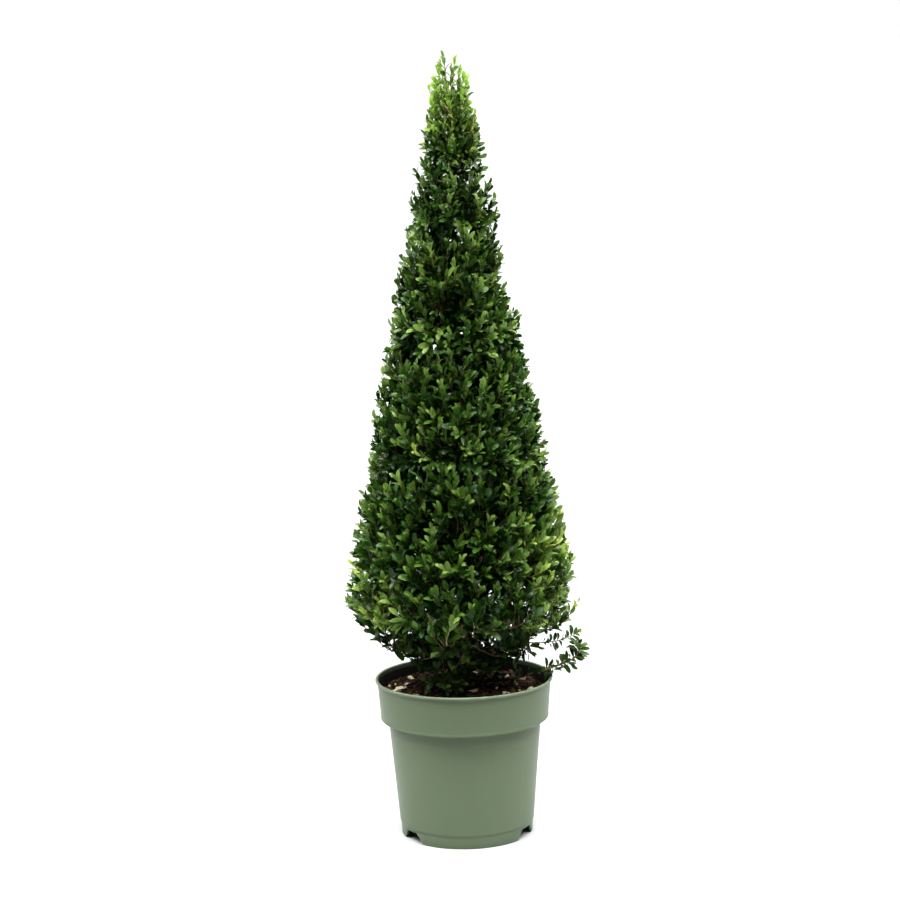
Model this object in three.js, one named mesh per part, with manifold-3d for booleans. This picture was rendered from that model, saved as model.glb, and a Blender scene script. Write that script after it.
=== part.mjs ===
// A clipped cone of Japanese holly growing in a round nursery pot.
// Millimetres, +Z up, the front towards -Y, the origin on the ground under the middle of the pot.
import * as THREE from "three";
import { mergeVertices } from "three/addons/utils/BufferGeometryUtils.js";
import Module from "manifold-3d";

const wasm = await Module();
wasm.setup();

// Clearance between neighbouring pieces, and the distance under which corners are one
const CLEARANCE = 0.3;
const WELD = 1e-3;

// Pot
const POT_SIDES = 40;
const POT_HEIGHT = 250;
const RIM_RADIUS = 140.5;
const LIP_HEIGHT = 5;
const LIP_REACH = 3.5;
const BAND_FOOT_HEIGHT = 187;
const BAND_FOOT_RADIUS = 132.5;
const BODY_TOP_HEIGHT = 185;
const BODY_TOP_RADIUS = 121;
const BODY_FOOT_RADIUS = 106.5;
const FOOT_RING_HEIGHT = 20;
const FOOT_RING_STEP = 1.2;
const FOOT_RADIUS = 104;
const FOOT_WIDTH = 3;
const WALL = 2.2;
const BASE_THICKNESS = 3;
const NOTCH_COUNT = 3;
const NOTCH_WIDTH = 50;
const NOTCH_TOP_WIDTH = 26;
const NOTCH_HEIGHT = 15.7;
const FIRST_NOTCH = THREE.MathUtils.degToRad(-27);
const DRAIN_COUNT = 6;
const DRAIN_RADIUS = 7;
const DRAIN_CIRCLE = 80;

// Soil
const SOIL_EDGE_HEIGHT = 229;
const SOIL_MIDDLE_HEIGHT = 234;
const SOIL_SEAT_RADIUS = 24;
const SOIL_ROUGHNESS = 5;

// Outline of the crown
const CROWN_TOP = 1221;
const CROWN_FOOT = 252;
const WIDEST_HEIGHT = 386;
const WIDEST_RADIUS = 183;
const CONE_SLOPE = 0.1985;
const TIP_ROUNDING = 40;
const SKIRT_POWER = 0.27;
const SKIRT_DROP = 12;

// Trunk and boughs
const TRUNK_RADIUS = 10;
const TRUNK_TIP_RADIUS = 3.4;
const TRUNK_SWAY = 3;
const FLARE_RADIUS = 7;
const FLARE_HEIGHT = 16;
const BOUGH_TIP_SHARE = 0.6;

// Masses of foliage: bands that rise outwards, cut into sectors round the trunk
const RISE = 1;
const INNER_SHARE = 0.32;
const SPACE_GAP = 0.6;
const CORE_GAP = 2;
const CORE_DEPTH = 30;
const CORE_ROUGHNESS = 16;
const CORE_COLUMNS = 5;
const CORE_ROWS = 4;
const LEAF_LENGTH = 52;
const LEAF_SINK = 1.5;
const LEAF_SPACING = 21;
const LEAF_HALF_WIDTH = 0.26;
const LEAF_THICKNESS = 0.036;
const LEAF_FOLD = 0.05;
const TWIG_RADIUS = 2.6;
const TWIG_TIP_RADIUS = 1.7;
const TIERS = [
  { name: "skirt", masses: 4, top: 440, twigs: 10, turn: 0.03, boughRadius: 4.6 },
  { name: "lower", masses: 3, top: 600, twigs: 12, turn: 0.42, boughRadius: 4.2 },
  { name: "middle", masses: 3, top: 775, twigs: 9, turn: 0.25, boughRadius: 3.6 },
  { name: "upper", masses: 3, top: 960, twigs: 6, turn: 0.08, boughRadius: 3.0 },
];
const CREST_TWIGS = 12;

// Loose shoots at the foot
const SIDE_SHOOT_REACH = 188;
const SIDE_SHOOT_HEIGHT = 315;
const SIDE_BOUGH_RADIUS = 3.2;
const SHOOT_RADIUS = 2;
const SIDE_LEAF_LENGTH = 22;
const FOOT_LEAF_LENGTH = 18;

const wood = { color: 0x4a3b2e, roughness: 0.85 };
const leafGreen = { color: 0x32591f, roughness: 0.5 };
const UP = new THREE.Vector3(0, 0, 1);

/** A fraction from 0 to 1 that is always the same for the same three numbers. */
function chance(a, b, c) {
  const wave = Math.sin(a * 127.1 + b * 311.7 + c * 74.7) * 43758.5453;
  return wave - Math.floor(wave);
}

/** A point at an angle round the trunk, a distance from its axis and a height. */
function polar(angle, radius, height) {
  return new THREE.Vector3(radius * Math.cos(angle), radius * Math.sin(angle), height);
}

/** The solid inside a closed geometry. */
function solidOf(geometry) {
  const bare = geometry.clone();
  bare.deleteAttribute("normal");
  bare.deleteAttribute("uv");
  const merged = mergeVertices(bare, WELD);
  const triVerts = new Uint32Array(merged.index.array);
  const vertProperties = new Float32Array(merged.attributes.position.array);
  return new wasm.Manifold(new wasm.Mesh({ numProp: 3, vertProperties, triVerts }));
}

/** The surface of a solid as a geometry. */
function geometryOf(solid) {
  const data = solid.getMesh();
  const geometry = new THREE.BufferGeometry();
  geometry.setAttribute("position", new THREE.BufferAttribute(new Float32Array(data.vertProperties), 3));
  geometry.setIndex(new THREE.BufferAttribute(new Uint32Array(data.triVerts), 1));
  return geometry;
}

/** The outer skin of the largest piece of a solid, so a loose scrap or a sealed hollow is gone. */
function largestPiece(solid) {
  const welded = solidOf(geometryOf(solid));
  return welded.decompose().reduce((best, piece) => (piece.volume() > best.volume() ? piece : best));
}

/** A named mesh of a solid with a material of its own. */
function meshOf(name, solid, look) {
  const geometry = geometryOf(solid);
  geometry.computeVertexNormals();
  const material = new THREE.MeshStandardMaterial({ metalness: 0, ...look });
  const mesh = new THREE.Mesh(geometry, material);
  mesh.name = name;
  return mesh;
}

/** A solid turned round +Z from a profile of [radius, height] pairs. */
function turned(profile) {
  const points = profile.map(([radius, height]) => new THREE.Vector2(radius, height));
  const geometry = new THREE.LatheGeometry(points, POT_SIDES);
  geometry.rotateX(Math.PI / 2);
  return geometry;
}

/** A geometry from corner points and triangles between them. */
function facetted(corners, triangles) {
  const geometry = new THREE.BufferGeometry();
  const positions = corners.flatMap((corner) => corner.toArray());
  geometry.setAttribute("position", new THREE.Float32BufferAttribute(positions, 3));
  geometry.setIndex(triangles.flat());
  return geometry;
}

/** A closed tapering limb along a curve, with flat ends square to it and its rings closer near the root. */
function limb(curve, radiusAt, sides, steps, crowding) {
  const corners = [];
  const triangles = [];
  const start = curve.getTangentAt(0);
  const across = new THREE.Vector3(start.y - start.z, start.z - start.x, start.x - start.y);
  for (let i = 0; i <= steps; i += 1) {
    const share = (i / steps) ** crowding;
    const along = curve.getTangentAt(share);
    across.addScaledVector(along, -across.dot(along)).normalize();
    const beside = new THREE.Vector3().crossVectors(along, across);
    for (let j = 0; j < sides; j += 1) {
      const angle = (2 * Math.PI * j) / sides;
      const corner = curve.getPointAt(share);
      corner.addScaledVector(across, radiusAt(share) * Math.cos(angle));
      corner.addScaledVector(beside, radiusAt(share) * Math.sin(angle));
      corners.push(corner);
    }
  }
  for (let j = 0; j < sides; j += 1) {
    const next = (j + 1) % sides;
    for (let i = 0; i < steps; i += 1) {
      const here = i * sides;
      const above = here + sides;
      triangles.push([here + j, here + next, above + next], [here + j, above + next, above + j]);
    }
    if (j > 0 && j < sides - 1) {
      const last = steps * sides;
      triangles.push([0, next, j], [last, last + j, last + next]);
    }
  }
  return solidOf(facetted(corners, triangles));
}

/** A limb whose thickness falls evenly from one end to the other. */
function taperedLimb(curve, startRadius, endRadius, sides, steps) {
  return limb(curve, (share) => THREE.MathUtils.lerp(startRadius, endRadius, share), sides, steps, 1);
}

/** The corners of a folded leaf: base, right, tip, left, and the middle of its upper and under side. */
function leafCorners(root, axis, facing, length) {
  const side = new THREE.Vector3().crossVectors(axis, facing).normalize();
  const normal = new THREE.Vector3().crossVectors(side, axis);
  const corner = (along, across, over) => root.clone()
    .addScaledVector(axis, along * length)
    .addScaledVector(side, across * length)
    .addScaledVector(normal, over * length);
  return [
    corner(0, 0, 0),
    corner(0.54, LEAF_HALF_WIDTH, LEAF_FOLD),
    corner(1, 0, 0),
    corner(0.54, -LEAF_HALF_WIDTH, LEAF_FOLD),
    corner(0.5, 0, LEAF_THICKNESS / 2),
    corner(0.5, 0, -LEAF_THICKNESS / 2),
  ];
}

/** A leaf blade of eight faces. */
function leafSolid(corners) {
  const triangles = [];
  for (let i = 0; i < 4; i += 1) {
    const next = (i + 1) % 4;
    triangles.push([i, next, 4], [next, i, 5]);
  }
  return solidOf(facetted(corners, triangles));
}

/** The radius of the clipped crown at a height. */
function crownRadius(height) {
  if (height <= CROWN_FOOT || height >= CROWN_TOP) {
    return 0;
  }
  if (height < WIDEST_HEIGHT) {
    return WIDEST_RADIUS * ((height - CROWN_FOOT) / (WIDEST_HEIGHT - CROWN_FOOT)) ** SKIRT_POWER;
  }
  const cone = WIDEST_RADIUS - CONE_SLOPE * (height - WIDEST_HEIGHT);
  const rounding = Math.max(0, 1 - (CROWN_TOP - height) / TIP_ROUNDING);
  return cone * Math.sqrt(1 - rounding ** 2);
}

/** Which rising band the crown's outline is in at a height. */
function outlineBand(height) {
  return height - RISE * crownRadius(height);
}

/** The pot's outer wall as [radius, height] pairs: foot of the body, its top, foot of the band, lip. */
function potWall() {
  return [
    [BODY_FOOT_RADIUS, FOOT_RING_HEIGHT + FOOT_RING_STEP],
    [BODY_TOP_RADIUS, BODY_TOP_HEIGHT],
    [BAND_FOOT_RADIUS, BAND_FOOT_HEIGHT],
    [RIM_RADIUS - LIP_REACH, POT_HEIGHT - LIP_HEIGHT - 1],
  ];
}

/** The same line a distance inside the wall, and as far above the ledge under the band. */
function insideWall(distance) {
  return potWall().map(([radius, height]) => {
    const onLedge = height === BODY_TOP_HEIGHT || height === BAND_FOOT_HEIGHT;
    return [radius - distance, onLedge ? height + distance : height];
  });
}

/** The space of one notch in the foot ring, which narrows upwards from its full width on the ground. */
function notchCutter() {
  const geometry = new THREE.BoxGeometry(4 * FOOT_WIDTH, 1, 2 * NOTCH_HEIGHT);
  const place = geometry.attributes.position;
  for (let i = 0; i < place.count; i += 1) {
    const width = THREE.MathUtils.lerp(NOTCH_WIDTH, NOTCH_TOP_WIDTH, place.getZ(i) / NOTCH_HEIGHT);
    place.setY(i, place.getY(i) * width);
  }
  return geometry;
}

/** The pot: a tapering shell with a band and lip, on a notched foot ring, with drain holes. */
function makePot() {
  const inside = insideWall(WALL).reverse();
  const baseTop = FOOT_RING_HEIGHT + BASE_THICKNESS;
  const profile = [
    [0, FOOT_RING_HEIGHT],
    [FOOT_RADIUS - FOOT_WIDTH, FOOT_RING_HEIGHT],
    [FOOT_RADIUS - FOOT_WIDTH, 0],
    [FOOT_RADIUS, 0],
    [BODY_FOOT_RADIUS - FOOT_RING_STEP, FOOT_RING_HEIGHT],
    ...potWall(),
    [RIM_RADIUS, POT_HEIGHT - LIP_HEIGHT],
    [RIM_RADIUS, POT_HEIGHT],
    [RIM_RADIUS - LIP_REACH, POT_HEIGHT],
    ...inside.slice(0, -1),
    [BODY_FOOT_RADIUS - WALL, baseTop],
    [0, baseTop],
  ];
  let pot = solidOf(turned(profile));
  for (let i = 0; i < NOTCH_COUNT; i += 1) {
    const notch = notchCutter();
    notch.translate(FOOT_RADIUS - FOOT_WIDTH, 0, 0);
    notch.rotateZ(FIRST_NOTCH + (2 * Math.PI * i) / NOTCH_COUNT);
    pot = pot.subtract(solidOf(notch));
  }
  for (let i = 0; i < DRAIN_COUNT; i += 1) {
    const hole = new THREE.CylinderGeometry(DRAIN_RADIUS, DRAIN_RADIUS, 4 * BASE_THICKNESS, 8);
    hole.rotateX(Math.PI / 2);
    hole.translate(DRAIN_CIRCLE, 0, FOOT_RING_HEIGHT);
    hole.rotateZ((2 * Math.PI * i) / DRAIN_COUNT);
    pot = pot.subtract(solidOf(hole));
  }
  return pot;
}

/** The soil that fills the pot, mounded a little towards the trunk and uneven on top. */
function makeSoil() {
  const fit = WALL + CLEARANCE;
  const [, bodyTop, bandFoot, rim] = insideWall(fit);
  const climb = (SOIL_EDGE_HEIGHT - bandFoot[1]) / (rim[1] - bandFoot[1]);
  const edge = THREE.MathUtils.lerp(bandFoot[0], rim[0], climb);
  const geometry = turned([
    [0, FOOT_RING_HEIGHT + BASE_THICKNESS + CLEARANCE],
    [BODY_FOOT_RADIUS - fit, FOOT_RING_HEIGHT + BASE_THICKNESS + CLEARANCE],
    bodyTop,
    bandFoot,
    [edge, SOIL_EDGE_HEIGHT],
    [edge * 0.75, SOIL_EDGE_HEIGHT],
    [edge * 0.45, THREE.MathUtils.lerp(SOIL_EDGE_HEIGHT, SOIL_MIDDLE_HEIGHT, 0.5)],
    [SOIL_SEAT_RADIUS, SOIL_MIDDLE_HEIGHT],
    [0, SOIL_MIDDLE_HEIGHT],
  ]);
  const place = geometry.attributes.position;
  for (let i = 0; i < place.count; i += 1) {
    const radius = Math.hypot(place.getX(i), place.getY(i));
    if (place.getZ(i) > SOIL_EDGE_HEIGHT - 1 && radius > SOIL_SEAT_RADIUS + 1 && radius < edge - 1) {
      const bump = chance(Math.round(place.getX(i)), Math.round(place.getY(i)), 5) - 0.5;
      place.setZ(i, place.getZ(i) + SOIL_ROUGHNESS * bump);
    }
  }
  return solidOf(geometry);
}

/** The line of the trunk from the soil to its tip under the crest. */
function trunkCurve(tipHeight) {
  const foot = SOIL_MIDDLE_HEIGHT + CLEARANCE;
  const points = [new THREE.Vector3(0, 0, foot), new THREE.Vector3(0, 0, foot + 2 * FLARE_HEIGHT)];
  const knees = 7;
  for (let i = 1; i < knees; i += 1) {
    const height = THREE.MathUtils.lerp(foot + 2 * FLARE_HEIGHT, tipHeight, i / knees);
    points.push(polar(2.4 * i, TRUNK_SWAY * chance(i, 1, 9), height));
  }
  points.push(new THREE.Vector3(0, 0, tipHeight));
  return new THREE.CatmullRomCurve3(points);
}

/** The trunk with its taper and root flare, grown all round by an allowance. */
function makeTrunk(curve, allowance) {
  const length = curve.getLength();
  const radiusAt = (share) => THREE.MathUtils.lerp(TRUNK_RADIUS, TRUNK_TIP_RADIUS, share)
    + FLARE_RADIUS * Math.exp((-share * length) / FLARE_HEIGHT) + allowance;
  return limb(curve, radiusAt, 8, 13, 2.2);
}

/** The masses of foliage of all tiers, each with its sector, its band and its share of the outline. */
function layOutMasses() {
  const masses = [];
  let bottom = CROWN_FOOT;
  for (const tier of TIERS) {
    const high = outlineBand(tier.top);
    const floor = bottom === CROWN_FOOT ? outlineBand(WIDEST_HEIGHT) - SKIRT_DROP : outlineBand(bottom);
    for (let i = 0; i < tier.masses; i += 1) {
      masses.push({
        name: `${tier.name}_${i + 1}`,
        seed: masses.length + 1,
        middle: (2 * Math.PI * (i + tier.turn)) / tier.masses,
        half: Math.PI / tier.masses,
        girth: crownRadius(Math.max((bottom + tier.top) / 2, WIDEST_HEIGHT)),
        bottom,
        top: tier.top,
        lead: Math.max((bottom + tier.top) / 2, WIDEST_HEIGHT),
        low: bottom === CROWN_FOOT ? -Infinity : floor,
        floor,
        high,
        rise: (floor + high) / 2,
        twigs: tier.twigs,
        boughRadius: tier.boughRadius,
      });
    }
    bottom = tier.top;
  }
  return masses;
}

/** The mass at the tip of the crown, all round the leader. */
function layOutCrest() {
  const bottom = TIERS[TIERS.length - 1].top;
  return {
    name: "crest",
    seed: 40,
    middle: 0,
    half: Math.PI,
    girth: crownRadius(bottom),
    bottom,
    top: CROWN_TOP,
    lead: CROWN_TOP - SPACE_GAP,
    low: outlineBand(bottom),
    high: Infinity,
    twigs: CREST_TWIGS,
  };
}

/** Whether a point is in a mass's own space, at least a gap inside its sides. */
function inSpace(mass, point, gap, depth) {
  const radius = Math.hypot(point.x, point.y);
  const band = point.z - RISE * radius;
  const limit = crownRadius(point.z);
  if (radius > limit - depth || band < mass.low + gap || band > mass.high - gap) {
    return false;
  }
  if (mass.half === Math.PI) {
    return true;
  }
  const turn = Math.atan2(point.y, point.x) - mass.middle;
  const offset = Math.abs(Math.atan2(Math.sin(turn), Math.cos(turn)));
  const inner = INNER_SHARE * crownRadius(Math.max(point.z, WIDEST_HEIGHT));
  return offset < mass.half && radius * Math.sin(mass.half - offset) > gap && radius > inner + gap;
}

/** The bough that carries a mass, from the trunk to where it enters the mass's space. */
function boughCurve(mass, trunk) {
  const entry = INNER_SHARE * mass.girth;
  const end = polar(mass.middle, entry, mass.rise + RISE * entry);
  const rootHeight = Math.max(end.z - 1.35 * entry, SOIL_MIDDLE_HEIGHT + 26);
  const trunkFoot = SOIL_MIDDLE_HEIGHT + CLEARANCE;
  const share = (rootHeight - trunkFoot) / (trunk.getPointAt(1).z - trunkFoot);
  const root = trunk.getPointAt(share);
  const knee = polar(mass.middle, 0.62 * entry, THREE.MathUtils.lerp(root.z, end.z, 0.42));
  return new THREE.QuadraticBezierCurve3(root, knee, end);
}

/** The one stem of a mass, growing on from the tip of its bough. */
function stemCurve(mass, limbCurve) {
  const along = limbCurve.getTangentAt(1);
  const start = limbCurve.getPointAt(1).addScaledVector(along, CLEARANCE);
  const reach = 0.8 * mass.girth;
  const end = mass.half === Math.PI
    ? new THREE.Vector3(0, 0, CROWN_TOP - 1.2 * LEAF_LENGTH)
    : polar(mass.middle, reach, mass.rise + RISE * reach);
  const knee = start.clone().addScaledVector(along, 0.5 * start.distanceTo(end));
  return new THREE.QuadraticBezierCurve3(start, knee, end);
}

/** How near the trunk and how far out a mass's core reaches along one rising line of its space. */
function coreSpan(mass, band) {
  const reaches = [];
  for (let radius = 1; radius < WIDEST_RADIUS; radius += 1) {
    if (inSpace(mass, polar(mass.middle, radius, band + RISE * radius), CORE_GAP, CORE_DEPTH)) {
      reaches.push(radius);
    }
  }
  return [reaches[0], reaches[reaches.length - 1]];
}

/** The dense heart of a clipped mass, which its twigs stand out of: a rough block between its neighbours. */
function makeCore(mass) {
  const corners = [];
  const triangles = [];
  const columns = CORE_COLUMNS + 1;
  const layer = columns * (CORE_ROWS + 1);
  const index = (face, column, row) => face * layer + row * columns + column;
  const quad = (a, b, c, d) => triangles.push([a, b, c], [a, c, d]);
  for (let face = 0; face < 2; face += 1) {
    for (let row = 0; row <= CORE_ROWS; row += 1) {
      const margin = 2 * CORE_GAP;
      const band = THREE.MathUtils.lerp(mass.floor + margin, mass.high - margin, row / CORE_ROWS);
      const span = coreSpan(mass, band);
      for (let column = 0; column < columns; column += 1) {
        const rough = CORE_ROUGHNESS * face * chance(mass.seed, column, 30 + row);
        const radius = Math.max(span[face] - rough, span[0] + 4 * face);
        const angle = (mass.half - CORE_GAP / radius) * ((2 * column) / CORE_COLUMNS - 1);
        corners.push(polar(mass.middle + angle, radius, band + RISE * radius));
      }
    }
  }
  const right = CORE_COLUMNS;
  const top = CORE_ROWS;
  for (let row = 0; row < top; row += 1) {
    const next = row + 1;
    for (let column = 0; column < right; column += 1) {
      const beside = column + 1;
      quad(index(1, column, row), index(1, beside, row), index(1, beside, next), index(1, column, next));
      quad(index(0, beside, row), index(0, column, row), index(0, column, next), index(0, beside, next));
    }
    quad(index(0, 0, row), index(1, 0, row), index(1, 0, next), index(0, 0, next));
    quad(index(1, right, row), index(0, right, row), index(0, right, next), index(1, right, next));
  }
  for (let column = 0; column < right; column += 1) {
    const beside = column + 1;
    quad(index(0, column, 0), index(0, beside, 0), index(1, beside, 0), index(1, column, 0));
    quad(index(1, column, top), index(1, beside, top), index(0, beside, top), index(0, column, top));
  }
  return solidOf(facetted(corners, triangles));
}

/** The dense heart of the crest, all round its stem. */
function makeCrestCore(mass) {
  const foot = new THREE.Vector3(0, 0, mass.low + 4 * CORE_GAP);
  const top = new THREE.Vector3(0, 0, CROWN_TOP - 1.6 * LEAF_LENGTH);
  const radiusAt = (share) => {
    const height = THREE.MathUtils.lerp(foot.z, top.z, share);
    const flank = Math.max(4, height - mass.low - 2 * CORE_GAP) / RISE;
    return Math.min(flank, Math.max(6, crownRadius(height) - CORE_DEPTH * (1 - 0.4 * share)));
  };
  return limb(new THREE.LineCurve3(foot, top), radiusAt, 8, 6, 1);
}

/** How a twig grows that ends on the outline at an angle and a height. */
function growth(mass, k, angle, height) {
  const radius = crownRadius(height);
  const outward = polar(angle, 1, 0);
  const sideways = new THREE.Vector3().crossVectors(UP, outward);
  const lift = 0.8 * Math.min(1, 0.2 + (height - CROWN_FOOT) / (WIDEST_HEIGHT - CROWN_FOOT));
  const direction = outward.clone().multiplyScalar(0.2 + (0.45 * radius) / WIDEST_RADIUS)
    .addScaledVector(UP, lift)
    .addScaledVector(sideways, 0.5 * (chance(mass.seed, k, 2) - 0.5))
    .normalize();
  return { tip: polar(angle, radius, height), outward, sideways, direction };
}

/** Place number k in an even spread over a mass's share of the outline, or null where none is due. */
function outlinePlace(mass, k) {
  if (k === 0) {
    return { ...growth(mass, k, mass.middle, mass.lead), up: 1 };
  }
  const across = (0.5 + k * 0.7548776662) % 1;
  const up = (0.5 + k * 0.569840291) % 1;
  const height = THREE.MathUtils.lerp(mass.bottom, mass.top, up);
  if (crownRadius(height) < chance(mass.seed, k, 1) * mass.girth) {
    return null;
  }
  return { ...growth(mass, k, mass.middle + mass.half * (2 * across - 1), height), up };
}

/** The twig that leaves a mass's stem for one place on the outline. */
function twigCurve(stem, place) {
  const end = place.tip.clone().addScaledVector(place.direction, -LEAF_LENGTH);
  const start = stem.getPoint(0.2 + 0.7 * place.up);
  const knee = end.clone().addScaledVector(place.direction, -0.45 * start.distanceTo(end));
  return new THREE.QuadraticBezierCurve3(start, knee, end);
}

/** The leaves of one twig: one that carries its line on, and a pair that spreads to both sides. */
function twigLeaves(mass, k, curve, place) {
  const leaves = [];
  const facing = place.outward.clone().addScaledVector(UP, -0.6);
  for (let i = 0; i < 3; i += 1) {
    const spread = [0, 0.85, -0.85][i];
    const back = Math.min(0.4 * i, (i * 0.28 * LEAF_LENGTH) / curve.getLength());
    const roll = 0.9 * (chance(mass.seed, k, 10 + i) - 0.5);
    const axis = place.direction.clone().addScaledVector(place.sideways, spread).normalize();
    const turnedFacing = facing.clone().addScaledVector(place.sideways, roll);
    const length = i === 0 ? LEAF_LENGTH : LEAF_LENGTH * (0.75 + 0.25 * chance(mass.seed, k, 20 + i));
    const root = curve.getPointAt(1 - back).addScaledVector(axis, -LEAF_SINK);
    leaves.push(leafCorners(root, axis, turnedFacing, length + LEAF_SINK));
  }
  return leaves;
}

/** A mass of foliage: stem, core, and the twigs and leaves that stay in its space. */
function makeMass(mass, limbCurve, stemRadius) {
  const stem = stemCurve(mass, limbCurve);
  const core = mass.half === Math.PI ? makeCrestCore(mass) : makeCore(mass);
  const pieces = [taperedLimb(stem, stemRadius, 0.5 * stemRadius, 5, 3), core];
  const middles = [];
  const fits = (corners) => corners.slice(1).every((corner) => inSpace(mass, corner, SPACE_GAP, -3))
    && middles.every((middle) => middle.distanceTo(corners[4]) > LEAF_SPACING);
  let grown = 0;
  for (let k = 0; grown < mass.twigs && k < 12 * mass.twigs; k += 1) {
    const place = outlinePlace(mass, k);
    if (place === null) {
      continue;
    }
    const curve = twigCurve(stem, place);
    if (![0.7, 0.85, 1].every((share) => inSpace(mass, curve.getPoint(share), TWIG_RADIUS, 0))) {
      continue;
    }
    const leaves = twigLeaves(mass, k, curve, place).filter(fits);
    if (leaves.length > 0) {
      middles.push(...leaves.map((corners) => corners[4]));
      pieces.push(taperedLimb(curve, TWIG_RADIUS, TWIG_TIP_RADIUS, 3, 2), ...leaves.map(leafSolid));
      grown += 1;
    }
  }
  return largestPiece(wasm.Manifold.union(pieces));
}

/** A loose leafy shoot: one stem with leaves turning round it, from a share of its length to its tip. */
function makeShoot(stem, leafCount, leafLength, firstLeaf, seed) {
  const pieces = [taperedLimb(stem, SHOOT_RADIUS, 0.6 * SHOOT_RADIUS, 3, 6)];
  for (let i = 0; i < leafCount; i += 1) {
    const share = THREE.MathUtils.lerp(firstLeaf, 1, i / (leafCount - 1));
    const along = stem.getTangentAt(share);
    const turn = 2.4 * i + chance(seed, i, 4);
    const sideways = new THREE.Vector3(Math.cos(turn), Math.sin(turn), 0.4);
    const spread = i === leafCount - 1 ? 0 : 1.1;
    const axis = along.clone().addScaledVector(sideways, spread).normalize();
    const facing = along.clone().addScaledVector(sideways, -1.3).addScaledVector(UP, 0.3);
    const length = leafLength * (0.75 + 0.25 * chance(seed, i, 6));
    const root = stem.getPointAt(share).addScaledVector(axis, -0.6 * LEAF_SINK);
    pieces.push(leafSolid(leafCorners(root, axis, facing, length)));
  }
  return largestPiece(wasm.Manifold.union(pieces));
}

/** The low bough that runs out over the soil to the loose shoot on the right. */
function sideBoughCurve() {
  return new THREE.QuadraticBezierCurve3(
    new THREE.Vector3(0, 0, SOIL_MIDDLE_HEIGHT + 10),
    new THREE.Vector3(60, -34, SOIL_MIDDLE_HEIGHT + 9),
    new THREE.Vector3(118, -16, POT_HEIGHT + 8),
  );
}

/** The loose shoot beyond it, over the rim and then upwards. */
function sideShootCurve(bough) {
  const along = bough.getTangentAt(1);
  const start = bough.getPointAt(1).addScaledVector(along, CLEARANCE);
  const rest = SIDE_LEAF_LENGTH * 0.9;
  return new THREE.CubicBezierCurve3(
    start,
    start.clone().addScaledVector(along, 40),
    new THREE.Vector3(SIDE_SHOOT_REACH - 2, -4, POT_HEIGHT + 20),
    new THREE.Vector3(SIDE_SHOOT_REACH - 6, -6, SIDE_SHOOT_HEIGHT - rest),
  );
}

/** A short shoot from the foot of the trunk, in front. */
function footShootCurve() {
  return new THREE.QuadraticBezierCurve3(
    new THREE.Vector3(0, 0, SOIL_MIDDLE_HEIGHT + 8),
    new THREE.Vector3(-26, -40, SOIL_MIDDLE_HEIGHT + 5),
    new THREE.Vector3(-32, -56, SOIL_MIDDLE_HEIGHT + 12),
  );
}

const crest = layOutCrest();
const trunkLine = trunkCurve(crest.low + 2);
const trunk = makeTrunk(trunkLine, 0);
const trunkSpace = makeTrunk(trunkLine, CLEARANCE);

const plant = new THREE.Group();
plant.name = "potted_japanese_holly";
plant.add(meshOf("pot", makePot(), { color: 0x66775c, roughness: 0.42 }));
plant.add(meshOf("soil", makeSoil(), { color: 0x2b211a, roughness: 0.95 }));
plant.add(meshOf("trunk", trunk, wood));

for (const mass of layOutMasses()) {
  const curve = boughCurve(mass, trunkLine);
  const tipRadius = BOUGH_TIP_SHARE * mass.boughRadius;
  const bough = largestPiece(taperedLimb(curve, mass.boughRadius, tipRadius, 5, 3).subtract(trunkSpace));
  plant.add(meshOf(`bough_${mass.name}`, bough, wood));
  plant.add(meshOf(`foliage_${mass.name}`, makeMass(mass, curve, tipRadius), leafGreen));
}
plant.add(meshOf("foliage_crest", makeMass(crest, trunkLine, TRUNK_TIP_RADIUS), leafGreen));

const sideBough = sideBoughCurve();
const sideWood = taperedLimb(sideBough, SIDE_BOUGH_RADIUS, SHOOT_RADIUS, 5, 4).subtract(trunkSpace);
plant.add(meshOf("bough_side_shoot", largestPiece(sideWood), wood));
const sideShoot = makeShoot(sideShootCurve(sideBough), 9, SIDE_LEAF_LENGTH, 0.3, 51);
plant.add(meshOf("foliage_side_shoot", sideShoot, leafGreen));

const footShoot = makeShoot(footShootCurve(), 7, FOOT_LEAF_LENGTH, 0.45, 52).subtract(trunkSpace);
plant.add(meshOf("foliage_foot_shoot", largestPiece(footShoot), leafGreen));

export default plant;
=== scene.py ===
"""Finishes the potted holly round its solids, then sets the floor, the light and the camera."""

import math
from types import SimpleNamespace

import bpy
import numpy as np
from mathutils import Matrix, Vector, noise


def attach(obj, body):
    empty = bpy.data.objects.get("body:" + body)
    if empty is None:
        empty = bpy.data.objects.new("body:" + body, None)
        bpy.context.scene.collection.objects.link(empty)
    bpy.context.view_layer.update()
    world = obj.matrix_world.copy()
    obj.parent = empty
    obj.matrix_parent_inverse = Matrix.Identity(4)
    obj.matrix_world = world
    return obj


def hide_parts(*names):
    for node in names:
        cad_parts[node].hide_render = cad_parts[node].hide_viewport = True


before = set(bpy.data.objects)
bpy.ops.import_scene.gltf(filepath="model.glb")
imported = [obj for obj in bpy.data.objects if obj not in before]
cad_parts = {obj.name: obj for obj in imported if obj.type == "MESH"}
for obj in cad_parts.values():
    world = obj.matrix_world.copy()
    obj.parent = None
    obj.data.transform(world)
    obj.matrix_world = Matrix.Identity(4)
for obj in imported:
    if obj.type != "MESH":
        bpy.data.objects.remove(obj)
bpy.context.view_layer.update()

# Sizes of the solids, in millimetres.
MM = 0.001
CLEARANCE = 0.3
POT_HEIGHT = 250
SOIL_EDGE_HEIGHT = 229
SOIL_MIDDLE_HEIGHT = 234
SOIL_RADIUS = 133.2
CROWN_TOP = 1221
CROWN_FOOT = 252
WIDEST_HEIGHT = 386
WIDEST_RADIUS = 183
CONE_SLOPE = 0.1985
TIP_ROUNDING = 40
SKIRT_POWER = 0.27
SKIRT_DROP = 12
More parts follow.
